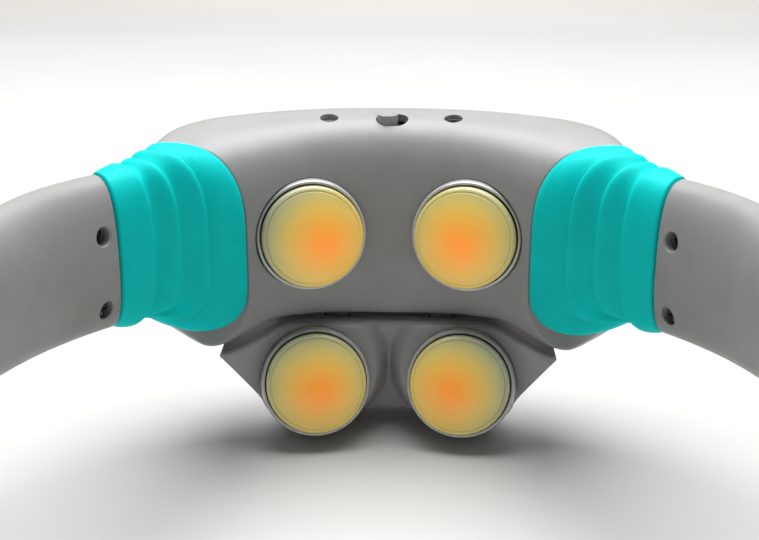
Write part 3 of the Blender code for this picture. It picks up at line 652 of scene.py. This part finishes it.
def solder_mask():
    """Green board: parallel copper tracks under the mask and pale pads."""
    made = Finish("board_mask", Roughness=0.4, Coat_Weight=0.3)
    inputs = {"Vector": made.stretched(1, 0, 1), "Scale": 160.0, "Mortar Size": 0.05}
    bands = made.node("ShaderNodeTexBrick", inputs)
    bands.inputs["Color1"].default_value = (0.01, 0.13, 0.05, 1)
    bands.inputs["Color2"].default_value = (0.015, 0.17, 0.065, 1)
    bands.inputs["Mortar"].default_value = (0.03, 0.30, 0.11, 1)
    inputs = {"Vector": made.coordinates, "Scale": 420.0}
    pads = made.node("ShaderNodeTexVoronoi", inputs).outputs["Distance"]
    share = made.ramp(pads, [(0.14, (1, 1, 1)), (0.2, (0, 0, 0))])
    made.set("Base Color", made.mix(share, bands.outputs["Color"], (0.55, 0.5, 0.35)))
    made.set("Roughness", made.between(made.noise(1.0), 0.32, 0.5))
    made.bump(bands.outputs["Fac"], 0.03, 0.5)
    return made.material


def pouch_film():
    """Crinkled laminate of a pouch cell."""
    made = Finish("cell_film", Metallic=0.6, Roughness=0.35)
    blues = [(0.3, (0.1, 0.2, 0.42)), (0.7, (0.16, 0.3, 0.56))]
    made.set("Base Color", made.ramp(made.noise(4.0, 5.0), blues))
    made.bump(made.noise(2.5, 5.0, 0.7), 0.12, 0.7)
    return made.material


def heater_trace():
    """Amber film with the etched winding of a heater."""
    made = Finish("heater_trace", Roughness=0.35, Coat_Weight=0.3)
    inputs = {"Vector": made.coordinates, "Scale": 260.0, "Distortion": 0.6}
    bands = made.node("ShaderNodeTexWave", inputs, wave_type="RINGS", rings_direction="Z").outputs["Fac"]
    made.set("Base Color", made.ramp(bands, [(0.45, (0.42, 0.16, 0.03)), (0.55, (0.7, 0.42, 0.2))]))
    made.bump(bands, 0.02, 0.5)
    return made.material


def smoked():
    """Smoked clear lens with a faint mould texture."""
    made = Finish("smoked_lens", Roughness=0.16, Coat_Weight=0.4)
    smoke = [(0.3, (0.11, 0.11, 0.115)), (0.7, (0.16, 0.16, 0.165))]
    made.set("Base Color", made.ramp(made.noise(0.8, 3.0), smoke))
    made.set("Roughness", made.between(made.noise(0.3, 3.0), 0.12, 0.24))
    return made.material


GREY = moulded("grey_shell_plastic", (0.31, 0.31, 0.31), 0.45)
# The pad is the casing's grey plastic painted lighter: painted light that brightens its shaded faces.
PAD_GREY_PAINTED_LIGHTER = moulded("pad_plastic_painted_lighter", (0.34, 0.34, 0.34), 0.42)
WHITE = moulded(
    "white_shell_plastic", (0.86, 0.86, 0.85), 0.26, depth=0.005, variation=0.02, Coat_Weight=0.3
)
BUTTON_WHITE = moulded("button_plastic", (0.74, 0.75, 0.75), 0.38, variation=0.03)
BUTTON_MARK = moulded("button_mark", (0.0, 0.42, 0.4), 0.4)
KNOB_GREY = moulded("knob_plastic", (0.34, 0.34, 0.34), 0.4)
BLACK = moulded("black_plastic_moulded", (0.03, 0.03, 0.032), 0.45)
TEAL = silicone("teal_silicone_skin", (0.0, 0.66, 0.64))
COLLAR = lathe_metal("collar_metal", (0.58, 0.58, 0.575), 0.34, 0.3)
STEEL = brushed_metal("bright_steel", (0.6, 0.6, 0.61), 0.3)
DARK_STEEL = brushed_metal("black_steel", (0.1, 0.1, 0.105), 0.4)
SPRING_STEEL = brushed_metal("spring_wire", (0.55, 0.55, 0.57), 0.28)

# ------------------------------ the U's shells


def shell_grids(stations, columns, white, lip_steps=4, lip=0.45):
    """Outer and inner grids of one shell: stations are (q, depth under the outer surface)."""
    outer, inner = [], []
    rim = np.linspace(0, np.pi / 2, lip_steps, endpoint=False)
    for q, depth in stations:
        top, bottom = parting_turns(q)
        gap = 0.006 if abs(q) < 1.5 else 0.014
        first, last = (top + gap, bottom - gap) if white else (bottom + gap, 1 + top - gap)
        turns = np.linspace(*uneased([first, last]), columns)
        turns = eased(turns)
        round_in = lip * (1 - np.sin(rim))
        edge = np.r_[round_in, np.zeros(columns - 2 * lip_steps), round_in[::-1]]
        outer.append(surface(q, turns % 1, -edge, depth))
        inner.append(surface(q, turns % 1, 0, depth + WALL))
    return np.array(outer), np.array(inner)


def body_stations(count=72):
    half = [(q, 0.0) for q in np.linspace(0, 0.972, count)]
    half += [(0.978, 0.02), (0.984, 0.1), (0.989, 0.3), (0.994, 0.7), (1.0, CUFF_STEP), (1.1, CUFF_STEP)]
    half += [(BODY_END, CUFF_STEP)]
    return [(-q, depth) for q, depth in reversed(half[1:])] + half


def arm_stations(side, count=64):
    made = [(ARM_START, CUFF_STEP), (1.95, CUFF_STEP), (1.999, CUFF_STEP), (2.002, 0.7), (2.004, 0.3)]
    made += [(2.006, 0.1), (2.009, 0.02)]
    made += [(q, 0.0) for q in np.linspace(2.012, 2.78, count)]
    made += [(ROUND_END + 0.2 * math.sin(a), 0.0) for a in np.linspace(0, math.radians(86), 22)]
    return [(side * q, depth) for q, depth in made]


def head_seat(stem=False):
    """Cutter for the stepped opening that a collar sits in, and for the stem's well under it."""
    well = [(0, -10.2), (3.9, -10.2), (3.9, -5.3)] if stem else [(0, -5.3)]
    seat = [(RING_R, -5.3), (RING_R, -1.9), (RING_R + 0.1, -1.9), (RING_R + 0.1, 9), (0, 9)]
    return turned(well + seat)


def make_casing():
    front = make_object("housing_shell", [thick_sheet(*shell_grids(body_stations(), 104, False))])
    combine(front, [moved(head_seat(), head_frame(UPPER_HEAD, side)) for side in (-1, 1)])
    slot = prism(stadium(SLOT["length"], SLOT["width"]), 12, 30)
    cuts = [moved(slot, Matrix.Translation((SLOT["x"], TOP_FEATURES_Y, 0)))]
    for x in (SOCKET_X, LENS_X):
        cuts.append(moved(cylinder(TOP_HOLE_R, 12, 30), Matrix.Translation((x, TOP_FEATURES_Y, 0))))
        rim = face_frame(front, (x, TOP_FEATURES_Y, 40), (0, 0, -1))
        cuts.append(moved(countersink(TOP_HOLE_R, 0.1), rim))
    combine(front, cuts)
    front.matrix_world = DESIGN
    settle(front, GREY, "casing", "grey_shell", "front_housing")
    for side, word in SIDES:
        make_lug(side, word)

    rear = make_object("rear_shell", [thick_sheet(*shell_grids(body_stations(), 72, True))])
    cuts, bosses = [], []
    for side in (-1, 1):
        place = surface_frame(side * COVER_SCREW_Q, 0.5)
        cuts.append(moved(cylinder(COVER_SCREW_HOLE_R, -4, 3), place))
        cuts.append(moved(countersink(COVER_SCREW_HOLE_R, 0.25), place))
        cup = [(1.25, -3.2), (2.9, -3.2), (2.9, -1.5), (2.12, -1.5), (2.12, -1.65), (1.25, -1.65)]
        bosses.append(moved(turned(cup, 48), place))
    combine(rear, cuts)
    rear.matrix_world = DESIGN
    settle(rear, WHITE, "casing", "white_shell", "rear_cover")
    for word, boss in zip(("left", "right"), bosses):
        seat = make_object(f"rear_screw_seat_{word}", [boss])
        seat.matrix_world = DESIGN
        settle(seat, WHITE, "casing", "white_shell")


def make_lug(side, word):
    """A rounded lug under the casing with an eye for the pad's rod."""
    eye = [(2.1 * math.cos(a), 2.1 * math.sin(a)) for a in np.linspace(np.pi, 2 * np.pi, 15)]
    outline = [(-2.0, 10.2), (-2.0, 2.0)] + eye + [(2.0, 2.0), (2.0, 10.2)]
    lug = make_object(f"housing_lug_{word}", [prism(outline, -2.5, 2.5)])
    combine(lug, [cylinder(ROD["r"] + 0.15, -4, 4)])
    upright = Matrix(((0, 0, 1, side * LUG_X), (1, 0, 0, ROD["y"]), (0, 1, 0, ROD["z"]), (0, 0, 0, 1)))
    lug.matrix_world = placed(upright)
    settle(lug, GREY, "casing", "grey_shell")


# ------------------------------ bellows

# Folds of the bellows: place, which is 0 at the large rim, 1, 2 and 3 at the three crests and 4 at
# the small rim, and height.
PLEATS = [
    (0.0, 0.2), (0.03, 0.42), (0.12, 0.62), (0.35, 0.75), (0.6, 0.5), (0.78, 0.05), (0.88, -0.25),
    (0.93, 0.3), (0.97, 1.35), (1.0, 1.75), (1.08, 1.85), (1.25, 1.5), (1.5, 0.55), (1.7, -0.15),
    (1.8, -0.25), (1.88, 0.5),
    (1.95, 1.3), (2.0, 1.55), (2.1, 1.6), (2.3, 1.2), (2.55, 0.35), (2.75, -0.1), (2.85, 0.1), (2.93, 0.9),
    (3.0, 1.3), (3.1, 1.4), (3.4, 1.1), (3.8, 0.6), (3.95, 0.38), (3.98, 0.3), (4.0, 0.1),
]
# Shares of the way from the large rim to the small one where the crests lie: on the neck side, on
# top, on the outer side and at the bottom, where the folds close up.
CRESTS = [(0.32, 0.545, 0.75), (0.33, 0.55, 0.74), (0.42, 0.58, 0.72), (0.66, 0.71, 0.76)]


def crest_shares(turns):
    """Places of the rims and crests round the section, one column for each turn."""
    quarter = np.asarray(turns) * 4
    table = np.vstack([CRESTS, CRESTS[:1]])
    low = quarter % 1
    low = low * low * (3 - 2 * low)
    i = quarter.astype(int) % 4
    crests = table[i] * (1 - low[:, None]) + table[i + 1] * low[:, None]
    return np.column_stack([0 * low, crests, 0 * low + 1]).T


def bellows_grid(side, rows=210, columns=168):
    place, height = np.array(PLEATS).T
    steps = np.interp(np.linspace(0, len(place) - 1, rows), np.arange(len(place)), place)
    turns = eased(np.linspace(0, 1, columns, endpoint=False))
    marks = crest_shares(turns)
    i = np.minimum(steps.astype(int), len(marks) - 2)
    share = (steps - i)[:, None]
    along = marks[i] * (1 - share) + marks[i + 1] * share
    height = np.interp(steps, place, height)
    soften = np.array([1, 2, 3, 4, 3, 2, 1]) / 16
    height = np.convolve(np.pad(height, 3, "edge"), soften, "valid")[:, None]
    closed = np.clip((marks[3] - marks[1]) / 0.43, 0.25, 1)  # shallower where the folds close up
    height = np.where((steps > 0.8) & (steps < 3), 1, 0)[:, None] * height * (closed - 1) + height
    outer = surface(side * (1 + along), turns[None, :], height)
    inner = surface(side * (1 + along), turns[None, :], np.maximum(height - 1.3, -0.75))
    return np.concatenate([outer, inner[::-1]])


def make_bellows(side, word):
    made = make_object(f"{word}_bellows_skin", [tube(bellows_grid(side), wrap=True)], 60)
    made.matrix_world = DESIGN
    settle(made, TEAL, None, "teal_silicone", f"{word}_bellows")
    start, end = (Vector(surface(side * q, 0.5)) * MM + ORIGIN for q in (1.2, 1.88))
    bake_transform(made)


# ------------------------------ arms


def arm_screw_frame(side, z):
    here, out = contour(np.asarray(ARM_SCREWS_AT))
    return frame_along((side * here[0], here[1], z), (-side * out[0], -out[1], 0))


def make_arm(side, word):
    inner = make_object(f"{word}_arm_grey_shell", [thick_sheet(*shell_grids(arm_stations(side), 84, False))])
    outer = make_object(f"{word}_arm_white_shell", [thick_sheet(*shell_grids(arm_stations(side), 64, True))])
    cuts, cups = [], []
    for z in ARM_SCREWS_Z.values():
        place = arm_screw_frame(side, z)
        cuts.append(moved(cylinder(ARM_SCREW_HOLE_R, -3.4, 4), place))
        rim = face_frame(inner, place @ Vector((0, 0, 8)), -place.to_3x3().col[2])
        cuts.append(moved(countersink(ARM_SCREW_HOLE_R, 0.3), rim))
        cup = [(1.2, -5.2), (3.0, -5.2), (3.0, -2.0), (1.92, -2.0), (1.92, -3.2), (1.2, -3.2)]
        cups.append(moved(turned(cup, 48), place))
    combine(inner, cuts)
    seats = make_object(f"{word}_arm_screw_seats", cups)
    if side > 0:
        places = [surface_frame(q, 0.5) for q in BUTTONS_Q.values()]
        holes = [moved(cylinder(BUTTON_HOLE_R, -4, 4), place) for place in places]
        rims = [moved(countersink(BUTTON_HOLE_R, 0.22), place) for place in places]
        combine(outer, holes + rims)
    for made in (inner, outer, seats):
        made.matrix_world = DESIGN
    settle(inner, GREY, f"{word}_arm", "grey_shell", f"{word}_arm_inner_shell")
    settle(outer, WHITE, f"{word}_arm", "white_shell", f"{word}_arm_outer_shell")
    settle(seats, GREY, f"{word}_arm", "grey_shell")


# ------------------------------ heads

# Where each plate's painted glow is strongest, its tint and its strength.
PAINTED_HOT_SPOTS = {
    "upper_left": ((2.2, -1.4), (1.0, 1.0, 1.0), 0.62),
    "upper_right": ((-0.4, -1.2), (1.0, 1.0, 1.0), 0.62),
    "lower_left": ((0.6, -1.6), (0.88, 0.94, 1.1), 0.5),
    "lower_right": ((-1.8, -1.4), (0.88, 0.94, 1.1), 0.5),
}


def upright_head(place, side):
    """The head's frame with its Y as upright as can be and its X to the right of a viewer in front."""
    here = head_frame(place, side)
    z = here.to_3x3().col[2]
    x = Vector((0, 0, 1)).cross(z).normalized()
    y = z.cross(x)
    made = Matrix((x, y, z)).transposed().to_4x4()
    made.translation = here.translation
    return made


def make_head(name, place, side, base):
    here = placed(upright_head(place, side))
    bodies = {"ring": base, "plate": f"{name}_head", "cup": f"{name}_head", "heater": f"{name}_head"}
    ring = rounded([
        (11.4, 2.9, 0.12), (11.92, 2.9, 0.2), (12.2, 2.1, 0.5), (RING_R, 0.6, 0), (RING_R, -1.6, 0),
        (RING_R - 0.3, -2.2, 0), (RING_R - 0.3, -4.8, 0),
        (3.6, -4.8, 0), (3.6, -3.9, 0), (10.9, -3.9, 0), (10.9, -1.4, 0), (11.4, -1.0, 0),
    ])
    crown = [(r, 7.2 - 1.9 * (r / 10.3) ** 2.3) for r in np.linspace(10.0, 0, 26)]
    side_wall = rounded([(10.2, 3.1, 0.0), (11.1, 3.1, 0.25), (11.1, 3.55, 0.1), (10.95, 3.65, 0.05),
                         (10.95, 3.8, 0.05), (11.1, 3.9, 0.1), (11.1, 4.75, 0.7), (10.2, 5.34, 0.4)])[1:]
    under = [(0, 6.0), (7.6, 5.1), (10.2, 3.9), (10.2, 3.1)]
    plate = side_wall + crown + under
    cup = [(0, 3.0), (9.8, 3.0), (9.8, 2.7), (10.5, 2.7), (10.5, -1.2), (9.6, -1.2), (9.6, 1.4), (3.2, 1.4),
           (3.2, -7.2), (0, -7.2)]
    heater = [(0, 3.3), (7.6, 3.3), (7.6, 3.9), (0, 4.3)]
    finishes = {
        "ring": (ring, COLLAR, "grey_ring"),
        # The plate gets a painted glow: emission, with no lamp behind it.
        "plate": (plate, painted_emission_plate(f"{name}_glow", *PAINTED_HOT_SPOTS[name]), "contact_plate"),
        "cup": (cup, BLACK, "black_plastic"),
        "heater": (heater, HEATER, "heater_film"),
    }
    for part, (profile, material, slot) in finishes.items():
        made = make_object(f"{name}_{part}_turned", [turned(profile)], 40)
        made.matrix_world = here
        settle(made, material, bodies[part], slot, f"{name}_{part}")
    spring = make_object(f"{name}_spring_coil", [coil(5.0, 0.35, -3.4, 0.9, 2.5)])
    spring.matrix_world = here
    settle(spring, SPRING_STEEL, base, "spring_steel", f"{name}_spring")
    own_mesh(spring)


# ------------------------------ lower pad


def pad_top(x):
    at = np.interp(np.abs(x), POINTS[BODY_PART, 0], DISTANCE[BODY_PART])
    return smooth(BOTTOM, at) - PAD_TOP_GAP


def pad_bottom(x):
    """Lower outline: a lobe under each head, a flat middle and a slanting edge to each wing tip."""
    x = np.abs(x)
    tip_z = pad_top(PAD_TIP) - 0.4
    slant = PAD_KNEE[1] + (x - PAD_KNEE[0]) * (tip_z - PAD_KNEE[1]) / (PAD_TIP - PAD_KNEE[0])
    lobe = LOBE_Z - np.sqrt(np.maximum(LOBE_R**2 - (x - LOWER_HEAD["x"]) ** 2, 3.0))
    lobe = np.where(x < LOWER_HEAD["x"], np.minimum(lobe, PAD_MIDDLE_Z), lobe)
    return np.where(x > PAD_KNEE[0], slant, np.maximum(lobe, FOOT_Z))


def pad_face(x, z):
    """Front of the pad: it follows the casing and rises to a tilted round boss under each head."""
    side = LOWER_HEAD["x"]
    run = np.hypot(np.abs(x) - side, z - LOWER_HEAD["z"])
    pitch, yaw = math.radians(LOWER_HEAD["pitch"]), math.radians(LOWER_HEAD["yaw"])
    middle = LOWER_HEAD["y"] + HEAD_HEIGHT * math.cos(pitch)
    rise = z - LOWER_HEAD["z"] + HEAD_HEIGHT * math.sin(pitch)
    boss = middle + rise * math.tan(pitch) - (np.abs(x) - side) * math.tan(yaw)
    share = np.clip((15.8 - run) / 3.4, 0, 1)
    share = share * share * (3 - 2 * share)
    plate = contour_y(x) + 0.4
    return plate + (np.minimum(boss, plate) - plate) * share


def pad_split(x, z):
    return contour_y(x) + PAD_SPLIT + 0 * z


def pad_back(x, z):
    return contour_y(x) + PAD_DEPTH + 3.0 * np.cos(x / PAD_TIP * np.pi / 2) - 0.004 * (z + 33) ** 2


def edge_fall(x, z, radius):
    """How far a face falls away at the pad's upper and lower edges, which are rounded."""
    near = np.minimum(pad_top(x) - z, z - pad_bottom(x))
    fall = np.clip(radius - near, 0, radius)
    return radius - np.sqrt(radius**2 - fall**2)


def pad_columns(reach, count):
    """Places across the pad, closer together where the outline turns down at the lobes."""
    marks = np.array([0, 10, 20, PAD_KNEE[0], reach])
    marks = np.r_[-marks[:0:-1], marks]
    return np.interp(np.linspace(0, len(marks) - 1, count), np.arange(len(marks)), marks)


def pad_slab(front, back, inset=0.0, rows=44, count=150):
    """A closed block of the pad's outline between two sheets."""
    x = pad_columns(PAD_TIP - inset * 4, count)[:, None]
    eased_rows = (1 - np.cos(np.linspace(0, np.pi, rows))) / 2
    top, bottom = pad_top(x) - inset, pad_bottom(x) + inset
    z = top + (bottom - top) * eased_rows[None, :]
    x = x + 0 * z
    face, rear = np.stack([x, front(x, z), z], -1), np.stack([x, back(x, z), z], -1)
    return tube(np.concatenate([face, rear[:, ::-1]], axis=1))


def pad_screw_frame(side):
    x, z = side * PAD_SCREW["x"], PAD_SCREW["z"]
    return frame_along((x, float(pad_back(x, z)), z), (0, 1, 0))


def make_pad():
    def front_face(x, z):
        return pad_face(x, z) + edge_fall(x, z, PAD_EDGE)

    def rear_face(x, z):
        return pad_back(x, z) - edge_fall(x, z, PAD_EDGE)

    front = make_object("pad_face_shell", [pad_slab(front_face, pad_split)])
    rear = make_object("pad_back_shell", [pad_slab(lambda x, z: pad_split(x, z) + GAP, rear_face)])
    seats = [moved(head_seat(True), head_frame(LOWER_HEAD, side)) for side in (-1, 1)]

    def hollow_front(x, z):
        return pad_split(x, z) - 1

    def hollow_back(x, z):
        return pad_back(x, z) - PAD_WALL

    hollow = pad_slab(hollow_front, hollow_back, PAD_WALL, 12, 60)
    combine(front, seats)
    pockets = []
    for side in (-1, 1):
        low = (side * LUG_X - 3.0, ROD["y"] - 3.4, ROD["z"] - 4.5)
        high = (side * LUG_X + 3.0, ROD["y"] + 3.4, -18)
        pockets.append(block(low, high))
    stepped = turned([(0, -20), (1.0, -20), (1.0, -1.8), (2.1, -1.8), (2.1, 9), (0, 9)])
    screws = [moved(stepped, pad_screw_frame(side)) for side in (-1, 1)]
    combine(rear, [hollow] + seats + pockets + screws)
    eye = moved(cylinder(ROD["r"] + 0.1, -30, 30), frame_along((0, ROD["y"], ROD["z"]), (1, 0, 0)))
    for side, word in SIDES:
        low = (side * KNUCKLE_X - 2.0, ROD["y"] - 2.2, ROD["z"] - 2.6)
        high = (side * KNUCKLE_X + 2.0, ROD["y"] + 2.2, float(pad_top(KNUCKLE_X)) - 1.8)
        knuckle = make_object(f"pad_knuckle_{word}", [block(low, high)])
        combine(knuckle, [eye])
        knuckle.matrix_world = DESIGN
        settle(knuckle, PAD_GREY_PAINTED_LIGHTER, "lower_pad", "grey_shell")
    for made, node in ((front, "pad_front_shell"), (rear, "pad_back_cover")):
        made.matrix_world = DESIGN
        settle(made, PAD_GREY_PAINTED_LIGHTER, "lower_pad", "grey_shell", node)


# ------------------------------ small parts


def screw_parts(tip, seat):
    """A self-tapping screw: pan head with a cross recess, shank with a thread."""
    head = rounded([(1.7, seat, 0.1), (1.7, seat + 0.75, 0.3), (1.1, seat + 1.2, 0.4), (0, seat + 1.25, 0)])
    shank = [(0, tip), (0.25, tip + 0.1), (0.72, tip + 1.4), (0.72, seat)]
    body = turned(shank + head, 48)
    turns = max(int((seat - tip - 1.6) / 0.9), 2)
    thread = coil(0.78, 0.16, tip + 1.2, seat - 0.5, turns, 24, 4, 0.0)
    return body, thread


def make_screw(node, place, tip, seat, body, material):
    screw, thread = screw_parts(tip, seat)
    made = make_object(f"{node}_threaded", [screw])
    low, high = seat + 0.55, seat + 2.3
    combine(made, [block((-x, -y, low), (x, y, high)) for x, y in ((1.0, 0.17), (0.17, 1.0))])
    helix = make_object(f"{node}_thread", [thread])
    for piece in (made, helix):
        piece.matrix_world = placed(place)
    helix.data.materials.append(material)
    settle(made, material, body, "screw_steel", node)
    helix.parent = made
    helix.matrix_parent_inverse = made.matrix_world.inverted()


def make_screws():
    for side, word in SIDES:
        behind = surface_frame(side * COVER_SCREW_Q, 0.5)
        make_screw(f"cover_screw_{word}", behind, -8.5, -1.6, "casing", STEEL)
        make_screw(f"pad_screw_{word}", pad_screw_frame(side), -9.9, -1.75, "lower_pad", DARK_STEEL)
        for place, z in ARM_SCREWS_Z.items():
            frame_here = arm_screw_frame(side, z)
            make_screw(f"{word}_arm_screw_{place}", frame_here, -10.2, -3.15, f"{word}_arm", DARK_STEEL)


def upright(x):
    return Matrix.Translation((x, TOP_FEATURES_Y, 0))


def make_top_pieces():
    """The switch knob with its dished, ribbed top, the charging socket with its pin, and the lens."""
    r = KNOB["r"]
    outline = rounded([
        (r, 18.9, 0.1), (r, 22.4, 0.35), (r - 0.75, 22.4, 0.25), (r - 1.0, 22.12, 0.3),
        (0, 21.95, 0),
    ])
    stem = [(0, 16.9), (0.8, 16.9), (0.8, 18.9)]
    knob = make_object("power_knob", [turned(stem + outline)])
    ribs = [block((x - 0.11, -1.1, 21.9), (x + 0.11, 1.1, 22.22)) for x in (-0.7, 0.0, 0.7)]
    combine(knob, ribs, "UNION")
    knob.matrix_world = placed(upright(KNOB["x"]))
    settle(knob, KNOB_GREY, "switch_knob_body", "grey_shell", "switch_knob")
    jack = rounded([
        (2.6, 12, 0.2), (2.6, 18.4, 0.1), (1.75, 18.4, 0), (1.75, 20.9, 0.15), (1.15, 20.9, 0.15),
        (1.0, 20.6, 0.1), (1.0, 13.5, 0),
    ])
    pin = [(0, 13.2), (0.35, 13.2), (0.35, 19.3), (0.2, 19.6), (0, 19.65)]
    socket = make_object("barrel_socket", [turned([(0, 12)] + jack + [(0, 13.5)])])
    socket.matrix_world = placed(upright(SOCKET_X))
    settle(socket, BLACK, "casing", "black_plastic", "charging_socket")
    contact = make_object("socket_pin", [turned(pin, 32)])
    contact.matrix_world = placed(upright(SOCKET_X))
    settle(contact, STEEL, "casing", "hinge_steel")
    dome = rounded([(2.6, 16.5, 0.1), (2.6, 18.4, 0.1), (1.75, 18.4, 0), (1.75, 20.6, 0.3), (0, 20.85, 0)])
    lens = make_object("status_lens", [turned([(0, 16.5)] + dome)])
    lens.matrix_world = placed(upright(LENS_X))
    settle(lens, LENS, "casing", "lens_plastic", "indicator_lens")


def make_buttons():
    """Three dished push buttons, each with a raised mark: a plus, a ring and a minus."""
    outline = rounded([
        (1, -3.7, 0), (1, -3, 0), (3.5, -3, 0.1), (3.5, -2.4, 0.1), (2.6, -2.4, 0), (2.6, 0.75, 0.35),
        (1.9, 0.95, 0.3), (0, 0.7, 0),
    ])
    bar = block((-1.1, -0.2, 0.5), (1.1, 0.2, 0.92))
    marks = {
        "plus": [bar, moved(bar, Matrix.Rotation(math.pi / 2, 4, "Z"))],
        "mode": [turned([(0.75, 0.5), (1.1, 0.5), (1.1, 0.92), (0.75, 0.92)], 48)],
        "minus": [bar],
    }
    for name, q in BUTTONS_Q.items():
        here = placed(surface_frame(q, 0.5))
        button = make_object(f"{name}_key_cap", [turned([(0, -3.7)] + outline, 72)])
        button.matrix_world = here
        settle(button, BUTTON_WHITE, f"{name}_key", "white_shell", f"{name}_button")
        mark = make_object(f"{name}_key_mark", marks[name])
        mark.matrix_world = here
        settle(mark, BUTTON_MARK, f"{name}_key", "teal_silicone")


def finish_cad_nodes():
    """Procedural materials for the CAD nodes that stay: the works and the hinges."""
    finishes = {"battery": CELL, "circuit_board": BOARD, "button_board": BOARD, "beeper": BLACK}
    finishes |= {"slide_switch_body": BLACK, "pad_hinge_rod": STEEL, "pad_spring": SPRING_STEEL}
    for _, word in SIDES:
        finishes |= {f"{word}_{part}": STEEL for part in ("hinge_bracket", "hinge_pin", "arm_leaf")}
        finishes[f"{word}_hinge_spring"] = SPRING_STEEL
    for node, material in finishes.items():
        for slot in frame["nodes"][node].material_slots:
            slot.material = material


# ------------------------------ stage, light and camera


def area_light(name, place, aim, size, power_w, colour=(1, 1, 1)):
    data = bpy.data.lights.new(name, "AREA")
    data.shape = "RECTANGLE"
    data.size, data.size_y = size
    data.energy = power_w
    data.color = colour
    made = bpy.data.objects.new(name, data)
    bpy.context.scene.collection.objects.link(made)
    made.location = place
    made.rotation_euler = (Vector(aim) - Vector(place)).to_track_quat("-Z", "Y").to_euler()
    return made


FLOOR_TONES = [(0.3, (0.52, 0.518, 0.512)), (0.7, (0.55, 0.548, 0.542))]
OVERHEAD = dict(place=(0.0, 0.30, 0.95), aim=(0, 0.0, 0.02), size=(1.1, 0.8), power_w=22.5)
BACK_WALL = dict(
    place=(0.0, 0.7, 0.7), aim=(0, 2.0, 0.6), size=(0.9, 0.5), power_w=9.0, colour=(1.0, 0.88, 0.72)
)
SURROUND = 0.14


def make_stage():
    """A pale floor that curves up into a wall all round, a soft overhead light and one on the wall."""
    curve = [(1.6 + 0.5 * math.sin(a), 0.5 - 0.5 * math.cos(a)) for a in np.linspace(0, math.pi / 2, 20)]
    profile = [(0, 0), (0.4, 0), (0.9, 0)] + curve + [(2.1, 2.2)]
    points, _ = turned([(r / MM, z / MM) for r, z in profile], 96)
    count = len(profile)
    floor = make_object("studio_floor", [(points, quads(96, count, True, False).tolist())], 80)
    paint = Finish("floor_paint", Roughness=0.8)
    paint.set("Base Color", paint.ramp(paint.noise(160.0, 3.0), FLOOR_TONES))
    paint.bump(paint.noise(1.5, 3.0), 0.02, 0.3)
    floor.data.materials.append(paint.material)
    floor.location.z = -0.0002
    area_light("overhead", **OVERHEAD)
    area_light("back_wall", **BACK_WALL)
    world = bpy.data.worlds.new("studio")
    world.use_nodes = True
    background = world.node_tree.nodes["Background"]
    background.inputs["Color"].default_value = (1.0, 1.0, 1.0, 1.0)
    background.inputs["Strength"].default_value = SURROUND
    bpy.context.scene.world = world


CAMERA = dict(place=(4.9, -243.14, 80.78), pitch=20.0, yaw=1.6, lens=56.92)


def make_camera():
    data = bpy.data.cameras.new("camera")
    data.sensor_width = 36
    data.lens = CAMERA["lens"]
    data.clip_start = 0.005
    camera = bpy.data.objects.new("camera", data)
    bpy.context.scene.collection.objects.link(camera)
    camera.location = ORIGIN + Vector(CAMERA["place"]) * MM
    camera.rotation_euler = (math.radians(90 - CAMERA["pitch"]), 0, math.radians(CAMERA["yaw"]))
    bpy.context.scene.camera = camera


# ------------------------------ assembly

HEATER, BOARD, CELL, LENS = heater_trace(), solder_mask(), pouch_film(), smoked()

make_casing()
make_pad()
for side_sign, side_word in SIDES:
    make_bellows(side_sign, side_word)
    make_arm(side_sign, side_word)
    make_head(f"upper_{side_word}", UPPER_HEAD, side_sign, "casing")
    make_head(f"lower_{side_word}", LOWER_HEAD, side_sign, "lower_pad")
make_screws()
make_top_pieces()
make_buttons()
finish_cad_nodes()
make_stage()
make_camera()
bpy.context.scene.view_settings.view_transform = "Standard"
